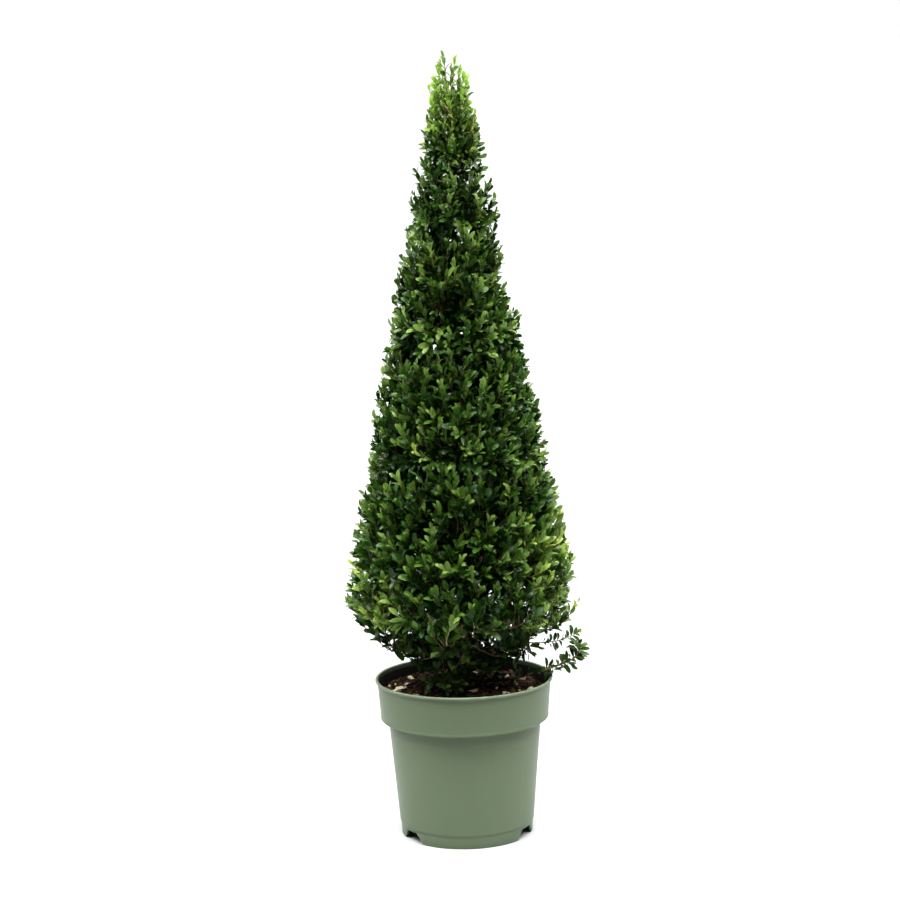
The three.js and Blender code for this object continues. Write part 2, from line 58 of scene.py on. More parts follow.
TRUNK_RADIUS = 10
TRUNK_TIP_RADIUS = 3.4
TRUNK_SWAY = 3
TRUNK_SWAY_TURN = 2.4
TRUNK_PARTS = 7
STRAIGHT_FOOT = 32
FLARE_RADIUS = 7
FLARE_HEIGHT = 16
LOWEST_BOUGH = 26
BOUGH_DROP = 1.35
BOUGH_TIP_SHARE = 0.6
RISE = 1
INNER_SHARE = 0.32
STEM_REACH = 0.8
SPACE_GAP = 0.6
SPRAY_LENGTH = 52
TWIG_RADIUS = 2.6
TWIG_BEND = 0.45
LIFT = 0.8
LEAST_LIFT = 0.2
LEAST_OUTWARD = 0.2
WIDE_OUTWARD = 0.45
SIDE_SWING = 0.5
SPREAD_ACROSS = 0.7548776662
SPREAD_UP = 0.569840291
TIERS = (
    SimpleNamespace(name="skirt", masses=4, top=440, twigs=10, turn=0.03, bough_radius=4.6,
                    shoots=122, inner=58),
    SimpleNamespace(name="lower", masses=3, top=600, twigs=12, turn=0.42, bough_radius=4.2,
                    shoots=190, inner=98),
    SimpleNamespace(name="middle", masses=3, top=775, twigs=9, turn=0.25, bough_radius=3.6,
                    shoots=178, inner=90),
    SimpleNamespace(name="upper", masses=3, top=960, twigs=6, turn=0.08, bough_radius=3.0,
                    shoots=150, inner=64),
)
CREST_TWIGS = 12
CREST_SHOOTS = 300
CREST_INNER = 56
SIDE_SHOOT_REACH = 188
SIDE_SHOOT_HEIGHT = 315
SIDE_BOUGH_RADIUS = 3.2
SHOOT_RADIUS = 2
SIDE_LEAF_LENGTH = 22

# Life-size leaves, in millimetres and in shares of their length.
LEAF_LENGTH = 24
LEAF_STEP = 6.2
LEAF_TURN = 2.4
LEAF_STATIONS = (0.09, 0.29, 0.55, 0.81, 0.95)
LEAF_HALF_WIDTHS = (0.055, 0.158, 0.207, 0.17, 0.083)
LEAF_CUP = 0.32
LEAF_ARCH = 0.1
LEAF_TILT = 0.25
OLD_LEAF_TILT = 0.6
YOUNG_LEAF_SHARE = 0.6
LEAST_LEAF = 0.78
LEAF_VARIETY = 0.42
TILT_SWING = 0.4
ROLL_SWING = 0.9
LEAFY_SHARE = 0.92
LEAF_SHARE_HEIGHTS = (470, 620, 800, 1080)
LEAF_SHARES = (1, 0.88, 0.86, 0.66)
FLANK_BELOW = 480
FLANK_RANGE = 70
FLANK_FROM = 0.45
FLANK_TURN = 0.3
FLANK_LEAF_SHARE = 0.74
SOIL_GAP = 4
TIP_EXCESS = 4

# Fine twigs and the clipped surface that their ends make, in millimetres.
MAIN_TWIG_TRIES = 12
MAIN_TWIG_RADIUS = 1.9
FINE_TWIG_RADIUS = 0.95
TWIG_TIP_RADIUS = 0.5
BUD_SHARES = (0.2, 0.35, 0.5, 0.65, 0.8, 0.95)
OUTLINE_EXCESS = 9
TIP_STANDBACK = 9
FREE_TIP = 30
LUMPS = 12
LUMP_SCALE = 0.024
DEPTH = 22
DEPTH_POWER = 1.5
PROUD = 3
RAGGED_SKIRT = 1.9
RAGGED_BELOW = 430
RAGGED_RANGE = 80
SMOOTH_TIP = 0.45
SMOOTH_ABOVE = 1040
SMOOTH_RANGE = 60
INSIDE_DEPTHS = (0.2, 0.5)
MOST_DEPTH = 0.7
ROOT_BACK = 30
HOLLOW_ABOVE = 380
HOLLOW_DEPTH = 30
HOLLOW_SCALE = np.array((0.036, 0.036, 0.018))
HOLLOW_SHIFT = np.array((2.6, 5.2, 1.3))
HOLLOW_EDGE = 0.16
HOLLOW_SLOPE = 0.2
FULL_HOLLOW_RADIUS = 130
# Beyond this share of a hollow, a shoot's leaves take the deepest green as painted shade.
HOLLOW_SHADE_FROM = 0.5
UNDERCUT_BELOW = 374
UNDERCUT_SHARE = 0.66
RIGHT_UNDERCUT = 0.6
HANGING_UNDERCUT = 0.35
LEAN = 6
LEAN_HEIGHT = 790
LEAN_RANGE = 260
DROOP = 0.9
DROOP_BELOW = 350
DROOP_RANGE = 50
HANGING_SHARE = 0.4
OPEN_BELOW = 345
OPEN_SHARE = 0.6
OPEN_FROM = 0.2
OPEN_TO = 0.92
THIN_SHARE = 0.28
OPEN_ABOVE = 1130
OPEN_TIP_SHARE = 0.3
FREE_ABOVE = 1172
UP = np.array((0.0, 0.0, 1.0))


def chance(a, b, c):
    """A fixed number between 0 and 1 for three numbers."""
    wave = math.sin(a * 127.1 + b * 311.7 + c * 74.7) * 43758.5453
    return wave - math.floor(wave)


def vec(x, y, z):
    return np.array((x, y, z), dtype=float)


def unit(v):
    return v / np.linalg.norm(v, axis=-1, keepdims=True)


def mix(a, b, share):
    return a + (b - a) * share


def ramp(over, span):
    """How far a value is along a span, from 0 to 1."""
    return min(1, max(0, over) / span)


def polar(angle, radius, height):
    return vec(radius * math.cos(angle), radius * math.sin(angle), height)


def bezier(points, share):
    """The point at a share of a curve with these control points."""
    while len(points) > 1:
        points = [mix(a, b, share) for a, b in zip(points, points[1:])]
    return points[0]


def heading(points, share):
    """The direction of a curve at a share of it."""
    return unit(bezier([b - a for a, b in zip(points, points[1:])], share))


def crown_radius(height):
    """The clipped outline's radius at a height."""
    if height <= CROWN_FOOT or height >= CROWN_TOP:
        return 0.0
    if height < WIDEST_HEIGHT:
        share = (height - CROWN_FOOT) / (WIDEST_HEIGHT - CROWN_FOOT)
        return WIDEST_RADIUS * share ** SKIRT_POWER
    cone = WIDEST_RADIUS - CONE_SLOPE * (height - WIDEST_HEIGHT)
    rounding = max(0.0, 1 - (CROWN_TOP - height) / TIP_ROUNDING)
    return cone * math.sqrt(1 - rounding ** 2)


def outline_band(height):
    return height - RISE * crown_radius(height)


def trunk_line(tip):
    """The points that the trunk runs through, from the soil to its tip."""
    foot = SOIL_MIDDLE_HEIGHT + CLEARANCE
    straight = foot + STRAIGHT_FOOT
    points = [vec(0, 0, foot), vec(0, 0, straight)]
    for i in range(1, TRUNK_PARTS):
        height = mix(straight, tip, i / TRUNK_PARTS)
        points.append(polar(TRUNK_SWAY_TURN * i, TRUNK_SWAY * chance(i, 1, 9), height))
    points.append(vec(0, 0, tip))
    return points


def trunk_point(line, height):
    """The middle of the trunk at a height."""
    last = len(line) - 2
    i = next((n for n in range(last + 1) if height <= line[n + 1][2]), last)
    before, a, b, after = line[max(i - 1, 0)], line[i], line[i + 1], line[min(i + 2, last + 1)]
    t = (height - a[2]) / (b[2] - a[2])
    way = 0.5 * (2 * a + (b - before) * t + (2 * before - 5 * a + 4 * b - after) * t * t
                 + (3 * a - before - 3 * b + after) * t ** 3)
    return vec(way[0], way[1], height)


def lay_out_masses():
    """The masses of all tiers, each with its sector, its band and its share of the outline."""
    masses = []
    bottom = CROWN_FOOT
    for tier in TIERS:
        first = bottom == CROWN_FOOT
        floor = outline_band(WIDEST_HEIGHT) - SKIRT_DROP if first else outline_band(bottom)
        high = outline_band(tier.top)
        lead = max((bottom + tier.top) / 2, WIDEST_HEIGHT)
        for i in range(tier.masses):
            masses.append(SimpleNamespace(
                name=f"{tier.name}_{i + 1}", seed=len(masses) + 1, crest=False,
                middle=2 * math.pi * (i + tier.turn) / tier.masses, half=math.pi / tier.masses,
                girth=crown_radius(lead), bottom=bottom, top=tier.top, lead=lead,
                low=-math.inf if first else floor, high=high, rise=(floor + high) / 2,
                twigs=tier.twigs, shoots=tier.shoots, inner=tier.inner,
                bough_radius=tier.bough_radius))
        bottom = tier.top
    return masses


def lay_out_crest():
    """The mass at the tip of the crown, all round the leader."""
    bottom = TIERS[-1].top
    return SimpleNamespace(
        name="crest", seed=40, crest=True, middle=0.0, half=math.pi, girth=crown_radius(bottom),
        bottom=bottom, top=CROWN_TOP, lead=CROWN_TOP - SPACE_GAP, low=outline_band(bottom),
        high=math.inf, twigs=CREST_TWIGS, shoots=CREST_SHOOTS, inner=CREST_INNER)


def in_crown(point):
    """Whether a leaf's tip is within the clipped outline, give or take half a leaf."""
    reach = crown_radius(point[2]) + OUTLINE_EXCESS
    return math.hypot(point[0], point[1]) < reach or point[2] > CROWN_TOP - FREE_TIP


def in_space(mass, point, gap):
    """Whether a point is in a mass's own space, at least a gap inside its sides."""
    radius = math.hypot(point[0], point[1])
    band = point[2] - RISE * radius
    if radius > crown_radius(point[2]) or band < mass.low + gap or band > mass.high - gap:
        return False
    if mass.crest:
        return True
    turn = math.atan2(point[1], point[0]) - mass.middle
    offset = abs(math.atan2(math.sin(turn), math.cos(turn)))
    inner = INNER_SHARE * crown_radius(max(point[2], WIDEST_HEIGHT))
    inside_walls = radius * math.sin(mass.half - offset) > gap
    return offset < mass.half and inside_walls and radius > inner + gap


def bough_curve(mass, line):
    """The bough that carries a mass, from the trunk to where it enters the mass's space."""
    entry = INNER_SHARE * mass.girth
    end = polar(mass.middle, entry, mass.rise + RISE * entry)
    root_height = max(end[2] - BOUGH_DROP * entry, SOIL_MIDDLE_HEIGHT + LOWEST_BOUGH)
    root = trunk_point(line, root_height)
    knee = polar(mass.middle, 0.62 * entry, mix(root[2], end[2], 0.42))
    return [root, knee, end]


def stem_curve(mass, start, along):
    """The one stem of a mass, growing on from the tip of its limb."""
    reach = STEM_REACH * mass.girth
    if mass.crest:
        end = vec(0, 0, CROWN_TOP - 1.2 * SPRAY_LENGTH)
    else:
        end = polar(mass.middle, reach, mass.rise + RISE * reach)
    knee = start + along * 0.5 * np.linalg.norm(end - start)
    return [start, knee, end]


def growth(mass, k, angle, height):
    """How a twig grows that ends on the outline at an angle and a height."""
    radius = crown_radius(height)
    outward = polar(angle, 1, 0)
    sideways = np.cross(UP, outward)
    lift = LIFT * min(1, LEAST_LIFT + (height - CROWN_FOOT) / (WIDEST_HEIGHT - CROWN_FOOT))
    direction = unit(outward * (LEAST_OUTWARD + WIDE_OUTWARD * radius / WIDEST_RADIUS) + UP * lift
                     + sideways * SIDE_SWING * (chance(mass.seed, k, 2) - 0.5))
    return SimpleNamespace(tip=polar(angle, radius, height), outward=outward, sideways=sideways,
                           direction=direction, height=height, reaches=in_crown, spread=0,
                           turn=LEAF_TURN, light=outward * 0.6 + UP * 0.7,
                           hangs=chance(mass.seed, k, 18) < HANGING_SHARE)


def outline_place(mass, k):
    """Place number k of an even spread over a mass's outline, or None where none is due."""
    if k == 0:
        place = growth(mass, k, mass.middle, mass.lead)
        place.up = 1.0
        return place
    across = (0.5 + k * SPREAD_ACROSS) % 1
    up = (0.5 + k * SPREAD_UP) % 1
    height = mix(mass.bottom, mass.top, up)
    if crown_radius(height) < chance(mass.seed, k, 1) * mass.girth:
        return None
    place = growth(mass, k, mass.middle + mass.half * (2 * across - 1), height)
    place.up = up
    return place


def twig_curve(start, end, direction):
    """A twig that leaves its parent and bends into its own direction."""
    return [start, end - direction * TWIG_BEND * np.linalg.norm(end - start), end]


def free_curve(start, end, direction):
    """A twig curve that never turns back on itself."""
    onward = unit(end - start)
    if np.dot(onward, direction) < 0.5:
        direction = unit(onward + 0.4 * direction)
    return twig_curve(start, end, direction)


def undercut(place):
    """How far a shoot draws back below the skirt, least on the right."""
    share = UNDERCUT_SHARE * (1 - RIGHT_UNDERCUT * max(0, place.outward[0]))
    share *= HANGING_UNDERCUT if place.hangs else 1
    return min(share * max(0, UNDERCUT_BELOW - place.height), 0.5 * crown_radius(place.height))


def hollow(place):
    """How far a place lies in one of the dark hollows of the clipped surface, from 0 to 1."""
    if not HOLLOW_ABOVE < place.height < OPEN_ABOVE:
        return 0.0
    wave = noise.noise(Vector(place.tip * HOLLOW_SCALE + HOLLOW_SHIFT))
    room = min(1, crown_radius(place.height) / FULL_HOLLOW_RADIUS)
    return ramp(-HOLLOW_EDGE - wave, HOLLOW_SLOPE) * room


class Tubes:
    """Twigs and limbs gathered for one joined mesh."""

    def __init__(self):
        self.points = []
        self.faces = []
        self.deal = []
        self.count = 0

    def add(self, points, radii, sides, tone=0):
        """A closed tube along points with a radius, or a ring of radii, at each."""
        along = unit(np.gradient(points, axis=0))
        lean = vec(1, 0, 0) if abs(along[0][0]) < 0.8 else vec(0, 1, 0)
        right = unit(np.cross(along, lean))
        over = np.cross(along, right)
        turn = np.linspace(0, 2 * math.pi, sides, endpoint=False)
        radii = np.asarray(radii, dtype=float)
        if radii.ndim == 1:
            radii = np.repeat(radii[:, None], sides, axis=1)
        ring = (right[:, None, :] * np.cos(turn)[None, :, None]
                + over[:, None, :] * np.sin(turn)[None, :, None])
        body = (points[:, None, :] + ring * radii[:, :, None]).reshape(-1, 3)
        steps = len(points)
        a = np.arange(steps - 1)[:, None] * sides + np.arange(sides)[None, :]
        b = np.arange(steps - 1)[:, None] * sides + (np.arange(sides)[None, :] + 1) % sides
        sheets = [np.stack((a, a + sides, b), axis=-1).reshape(-1, 3),
                  np.stack((b, a + sides, b + sides), axis=-1).reshape(-1, 3)]
        spokes = np.arange(sides)
        nexts = (spokes + 1) % sides
        first, last = len(body), len(body) + 1
        top = (steps - 1) * sides
        sheets.append(np.stack((spokes, nexts, np.full(sides, first)), axis=-1))
        sheets.append(np.stack((top + nexts, top + spokes, np.full(sides, last)), axis=-1))
        faces = np.concatenate(sheets) + self.count
        self.points.append(np.concatenate((body, points[:1], points[-1:])))
        self.faces.append(faces)
        self.deal.append(np.full(len(faces), tone))
        self.count += len(body) + 2

    def add_curve(self, curve, start_radius, end_radius, sides, steps, tone=0):
        """A tapering tube along a curve."""
        shares = np.linspace(0, 1, steps + 1)
        points = np.array([bezier(curve, share) for share in shares])
        self.add(points, mix(start_radius, end_radius, shares), sides, tone)


class Leaves:
    """Leaves gathered for one joined mesh."""

    def __init__(self):
        self.roots = []
        self.axes = []
        self.faces_up = []
        self.lengths = []
        self.cups = []
        self.tones = []

    def add(self, root, axis, facing, length, cup, tone):
        """One leaf, from its stalk along an axis, with its upper face and its colour number."""
        self.roots.append(root)
        self.axes.append(axis)
        self.faces_up.append(facing)
        self.lengths.append(length)
        self.cups.append(cup)
        self.tones.append(tone)

    def mesh(self):
        """Corners, triangles and colour numbers of all the leaves."""
        roots, axes, up = (np.array(group) for group in (self.roots, self.axes, self.faces_up))
        lengths, cups = np.array(self.lengths), np.array(self.cups)
        up = unit(up - axes * np.sum(up * axes, axis=1, keepdims=True))
        side = np.cross(axes, up)
        shape, triangles = leaf_shape()
        across = shape[None, :, 1] * lengths[:, None]
        cupped = shape[None, :, 2] + np.abs(shape[None, :, 1]) * cups[:, None]
        lift = cupped * lengths[:, None]
        forward = shape[None, :, 0] * lengths[:, None]
        points = (roots[:, None, :] + forward[:, :, None] * axes[:, None, :]
                  + across[:, :, None] * side[:, None, :] + lift[:, :, None] * up[:, None, :])
        offsets = np.arange(len(roots))[:, None, None] * len(shape)
        faces = (triangles[None, :, :] + offsets).reshape(-1, 3)
        return points.reshape(-1, 3), faces, np.repeat(np.array(self.tones), len(triangles))


def leaf_shape():
    """The corners of a leaf one unit long, from its stalk along x, and its triangles."""
    rows = [(0.0, 0.0, 0.0)]
    for t, w in zip(LEAF_STATIONS, LEAF_HALF_WIDTHS):
        arch = LEAF_ARCH * math.sin(math.pi * t * 0.9)
        rows += [(t, -w, arch), (t, 0.0, arch), (t, w, arch)]
    rows.append((1.0, 0.0, LEAF_ARCH * math.sin(math.pi * 0.9)))
    tip = len(rows) - 1
    triangles = [(0, 1, 2), (0, 2, 3)]
    for i in range(len(LEAF_STATIONS) - 1):
        a = 1 + 3 * i
        for left in (a, a + 1):
            triangles += [(left, left + 3, left + 1), (left + 1, left + 3, left + 4)]
    triangles += [(tip - 3, tip, tip - 2), (tip - 2, tip, tip - 1)]
    return np.array(rows), np.array(triangles)


def make_piece(name, points, faces, materials, deal=None, sharp=None):
    """A mesh object from corners in millimetres and faces of one size."""
    mesh = bpy.data.meshes.new(name)
    points = np.asarray(points, dtype=float)
    faces = np.asarray(faces, dtype=np.int32)
    mesh.vertices.add(len(points))
    mesh.vertices.foreach_set("co", (points * MM).astype(np.float32).ravel())
    mesh.loops.add(faces.size)
    mesh.loops.foreach_set("vertex_index", faces.ravel())
    mesh.polygons.add(len(faces))
    starts = np.arange(0, faces.size, faces.shape[1], dtype=np.int32)
    mesh.polygons.foreach_set("loop_start", starts)
    for material in materials:
        mesh.materials.append(material)
    if deal is not None:
        mesh.polygons.foreach_set("material_index", np.asarray(deal, dtype=np.int32))
    mesh.polygons.foreach_set("use_smooth", np.ones(len(faces), dtype=bool))
    mesh.update(calc_edges=True)
    mesh.validate()
    if sharp is not None:
        mesh.set_sharp_from_angle(angle=sharp)
    piece = bpy.data.objects.new(name, mesh)
    bpy.context.scene.collection.objects.link(piece)
    return piece


def belongs(piece, slot, *nodes):
    """Ties a piece to the body and hides the solids it stands for; the slot is not used."""
    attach(piece, "root")
    if nodes:
        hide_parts(*nodes)


# Looks.
LEAF_ROUGHNESS = 0.42
LEAF_GLOSS = 0.42
GRAIN_LOW = 0.32
GRAIN_HIGH = 0.7
RELIEF = 0.001


def shader(name, color, roughness, specular=0.5):
    """A plain material, with its nodes and its surface shader."""
    material = bpy.data.materials.new(name)
    material.use_nodes = True
    surface = material.node_tree.nodes["Principled BSDF"]
    surface.inputs["Base Color"].default_value = (*color, 1)
    surface.inputs["Roughness"].default_value = roughness
    surface.inputs["Specular IOR Level"].default_value = specular
    return material, material.node_tree, surface


def plain(name, color, roughness, specular=0.5):
    """A plain material by itself."""
    return shader(name, color, roughness, specular)[0]


def mottled(name, colors, scale, roughness, bump, bump_scale):
    """A material whose colour wanders between two colours, with a fine relief."""
    material, tree, surface = shader(name, colors[0], roughness, 0.3)
    place = tree.nodes.new("ShaderNodeTexCoord")
    grain = tree.nodes.new("ShaderNodeTexNoise")
    grain.inputs["Scale"].default_value = scale
    grain.inputs["Detail"].default_value = 5
    blend = tree.nodes.new("ShaderNodeValToRGB")
    for element, position, color in zip(blend.color_ramp.elements, (GRAIN_LOW, GRAIN_HIGH), colors):
        element.position = position
        element.color = (*color, 1)
    fine = tree.nodes.new("ShaderNodeTexNoise")
    fine.inputs["Scale"].default_value = bump_scale
    relief = tree.nodes.new("ShaderNodeBump")
    relief.inputs["Strength"].default_value = bump
    relief.inputs["Distance"].default_value = RELIEF
    tree.links.new(place.outputs["Object"], grain.inputs["Vector"])
    tree.links.new(grain.outputs["Fac"], blend.inputs["Fac"])
    tree.links.new(blend.outputs["Color"], surface.inputs["Base Color"])
    tree.links.new(place.outputs["Object"], fine.inputs["Vector"])
    tree.links.new(fine.outputs["Fac"], relief.inputs["Height"])
    tree.links.new(relief.outputs["Normal"], surface.inputs["Normal"])
    return material


def leaf_shader(name, color, share):
    """A leaf's gloss over its own colour, with a share of the light going through it."""
    material, tree, surface = shader(name, color, LEAF_ROUGHNESS, LEAF_GLOSS)
    through = tree.nodes.new("ShaderNodeBsdfTranslucent")
    through.inputs["Color"].default_value = (1.2 * color[0], 1.2 * color[1], 2 * color[2], 1)
    both = tree.nodes.new("ShaderNodeMixShader")
    both.inputs["Fac"].default_value = share
    tree.links.new(surface.outputs["BSDF"], both.inputs[1])
    tree.links.new(through.outputs["BSDF"], both.inputs[2])
    tree.links.new(both.outputs["Shader"], tree.nodes["Material Output"].inputs["Surface"])
    return material


DEEP, DARK, MIDDLE, FRESH, LIME, SPRING = range(6)
LEAF_COLORS = (
    ("leaf_deep", (0.012, 0.047, 0.002), 0.1),
    ("leaf_dark", (0.036, 0.092, 0.008), 0.16),
    ("leaf_middle", (0.073, 0.143, 0.018), 0.22),
    ("leaf_fresh", (0.168, 0.265, 0.052), 0.32),
    ("leaf_lime", (0.330, 0.435, 0.080), 0.4),
    ("leaf_spring", (0.300, 0.460, 0.066), 0.42),
)
leaf_materials = [leaf_shader(name, color, share) for name, color, share in LEAF_COLORS]
OLD_BARK, YOUNG_BARK, DRY_WOOD = range(3)
bark = mottled("bark", ((0.042, 0.027, 0.017), (0.150, 0.100, 0.060)), 160, 0.85, 0.7, 420)
young_bark = plain("young_bark", (0.300, 0.250, 0.100), 0.6)
dry_wood = plain("dry_wood", (0.38, 0.24, 0.15), 0.7)
twig_materials = [bark, young_bark, dry_wood]

# The colours of sprays, by height in millimetres.
SHADE_BELOW = 330
FLANK_FRESH_FOOT = 345
LEFT_FRESH_TOP = 440
RIGHT_FRESH_TOP = 520
LEFT_FRESH_SHARE = 0.75
RIGHT_FRESH_SHARE = 0.8
TIP_FRESH_FROM = 1040
TIP_FRESH_RANGE = 110
TIP_FRESH_LEAST = 0.22
SPRING_ABOVE = 1100
SPRING_SHARE = 0.65
LIME_SHARE = 0.42
RARE_LIME_SHARE = 0.05
ZONE_FEET = (440, 780)
ZONE_FRESH_SHARES = (0.08, 0.15, 0.25)
# Shares of sprays in the deepest green in the skirt, the middle and the top: highest low down, as
# painted shade.
ZONE_SHADE_DEEP_SHARES = (0.52, 0.2, 0.06)
DARK_SHARE = 0.55
SHADED_DARK_SHARE = 0.6
YOUNG_SHARE = 0.45
YOUNG_LEAVES = 2
FULL_LEAVES = 4
SPRING_LEAVES = 6


def zone(height):
    """Which of the three zones of the crown a height is in: skirt, middle or top."""
    return sum(height > foot for foot in ZONE_FEET)


def fresh_share(place):
    """The share of fresh sprays: most at the tip of the crown and low on both flanks."""
    x, height, radius = place.tip[0], place.height, crown_radius(place.height)
    if height > TIP_FRESH_FROM:
        return mix(TIP_FRESH_LEAST, 1, ramp(height - TIP_FRESH_FROM, TIP_FRESH_RANGE))
    if x < -0.55 * radius and FLANK_FRESH_FOOT < height < LEFT_FRESH_TOP:
        return LEFT_FRESH_SHARE
    if x > 0.6 * radius and FLANK_FRESH_FOOT < height < RIGHT_FRESH_TOP:
        return RIGHT_FRESH_SHARE
    return 0 if height < SHADE_BELOW else ZONE_FRESH_SHARES[zone(height)]


def shoot_tone(place, mass, k):
    """The colour number of a spray."""
    height, fresh = place.height, fresh_share(place)
    luck = chance(mass.seed, k, 7)
    if height > SPRING_ABOVE and luck < SPRING_SHARE * fresh:
        return SPRING
    if luck < (LIME_SHARE if fresh > 0.5 else RARE_LIME_SHARE) * fresh:
        return LIME
    if luck < fresh:
        return FRESH
    luck = chance(mass.seed, k, 8)
    if height < SHADE_BELOW:
        return DARK if luck < SHADED_DARK_SHARE else MIDDLE
    # More of the lower sprays take the deepest green: painted shade.
    deep = ZONE_SHADE_DEEP_SHARES[zone(height)]
    if luck < deep:
        return DEEP
    return DARK if luck < max(DARK_SHARE, deep + 0.2) else MIDDLE


def leaf_tone(tone, i, young):
    """The colour number of leaf number i of a spray, counted from its tip."""
    # Leaves further back from a spray's tip take a darker tone: partly as older leaves, partly as
    # painted shade deeper in the crown.
    if tone == SPRING:
        return SPRING if i < SPRING_LEAVES else FRESH
    if i >= FULL_LEAVES and tone != DEEP:
        return tone - 1
    if i < YOUNG_LEAVES and tone in (DARK, MIDDLE) and young:
        return tone + 1
    return tone


# Foliage.


def dress(leaves, curve, place, count, tone, seed, k, leaf_length=LEAF_LENGTH, crowding=1):
    """Leaves turning round the end of a twig, from its tip backwards."""
    length = sum(np.linalg.norm(bezier(curve, b) - bezier(curve, a))
                 for a, b in ((0, 0.5), (0.5, 1)))
    step = LEAF_STEP * leaf_length / LEAF_LENGTH / crowding
    young = chance(seed, k, 9) < YOUNG_SHARE
    for i in range(count):
        if 0.5 + step * i >= LEAFY_SHARE * length:
            break
        share = 1 - (0.5 + step * i) / length
        along = heading(curve, share)
        flat = unit(np.cross(along, place.sideways + 0.01 * UP))
        round_about = place.turn * i + 6.28 * chance(seed, k, 3)
        away = flat * math.cos(round_about) + np.cross(along, flat) * math.sin(round_about)
        swing = TILT_SWING * (chance(seed, k, 31 + i) - 0.5)
        tilt = LEAF_TILT + place.spread + OLD_LEAF_TILT * ramp(i, 5) + swing
        axis = along * math.cos(tilt) + away * math.sin(tilt)
        root = bezier(curve, share)
        size = leaf_length * mix(YOUNG_LEAF_SHARE, 1, ramp(i + 1, 4))
        size *= LEAST_LEAF + LEAF_VARIETY * chance(seed, k, 51 + i)
        end = root + axis * size
        between = SOIL_MIDDLE_HEIGHT + SOIL_GAP <= end[2] <= CROWN_TOP + TIP_EXCESS
        if not between or not place.reaches(end):
            continue
        roll = np.cross(axis, place.light) * ROLL_SWING * (chance(seed, k, 71 + i) - 0.5)
        inward = along * math.sin(tilt) - away * math.cos(tilt)
        leaves.add(root, axis, inward * 0.6 + place.light * 0.7 + roll, size,
                   LEAF_CUP * (0.3 + 1.1 * chance(seed, k, 91 + i)), leaf_tone(tone, i, young))


def main_twigs(mass, stem):
    """The source's twigs of a mass, by the number of the place where each ends."""
    mains = {}
    for k in range(MAIN_TWIG_TRIES * mass.twigs):
        place = outline_place(mass, k)
        if place is None or len(mains) >= mass.twigs:
            continue
        end = place.tip - place.direction * SPRAY_LENGTH
        curve = twig_curve(bezier(stem, 0.2 + 0.7 * place.up), end, place.direction)
        if all(in_space(mass, bezier(curve, share), TWIG_RADIUS) for share in (0.7, 0.85, 1)):
            drawn_back = end - place.outward * undercut(place)
            mains[k] = free_curve(curve[0], drawn_back, place.direction)
    return mains


def left_open(mass, k, place, inside):
    """Whether a place stays bare: at the tip of the crown and in the open foot of the skirt."""
    if place.height > OPEN_ABOVE:
        thinned = chance(mass.seed, k, 17) < OPEN_TIP_SHARE
        return inside or place.height > FREE_ABOVE or thinned
    if place.height < OPEN_BELOW:
        share = OPEN_SHARE if OPEN_FROM < place.outward[0] < OPEN_TO else THIN_SHARE
        return chance(mass.seed, k, 19) < share
    return False


def shoot_depth(mass, k, place, inside, sunk):
    """How far a shoot's end stands back from the clipped outline."""
    radius = crown_radius(place.height)
    ragged = mix(1, RAGGED_SKIRT, ramp(RAGGED_BELOW - place.height, RAGGED_RANGE))
    ragged *= mix(1, SMOOTH_TIP, ramp(place.height - SMOOTH_ABOVE, SMOOTH_RANGE))
    lump = noise.noise(Vector(place.tip) * LUMP_SCALE) * LUMPS * ragged
    luck = chance(mass.seed, k, 14)
    depth = DEPTH * ragged * luck ** DEPTH_POWER - lump - PROUD + HOLLOW_DEPTH * sunk
    if inside:
        depth = mix(*INSIDE_DEPTHS, chance(mass.seed, k, 16)) * radius
    near_lean = max(0, 1 - abs(place.height - LEAN_HEIGHT) / LEAN_RANGE)
    depth += undercut(place) + LEAN * place.outward[0] * near_lean
    return min(depth, MOST_DEPTH * radius)


def shoot_leaf_length(place):
    """The length of a shoot's leaves: less up the crown and low on both flanks."""
    size = LEAF_LENGTH * float(np.interp(place.height, LEAF_SHARE_HEIGHTS, LEAF_SHARES))
    flank = ramp(abs(place.outward[0]) - FLANK_FROM, FLANK_TURN)
    flank *= ramp(FLANK_BELOW - place.height, FLANK_RANGE)
    return size * mix(1, FLANK_LEAF_SHARE, flank)


def shoot_direction(mass, k, place):
    """The way a shoot points, drooping below the skirt."""
    swing = [chance(mass.seed, k, n) - 0.5 for n in (11, 12, 13)]
    droop = DROOP * ramp(DROOP_BELOW - place.height, DROOP_RANGE)
    return unit(place.direction + place.sideways * 0.7 * swing[0] + place.outward * 0.5 * swing[1]
                + UP * (0.5 * swing[2] - droop))


def nearest(points, place):
    return int(np.argmin(np.linalg.norm(points - place, axis=1)))


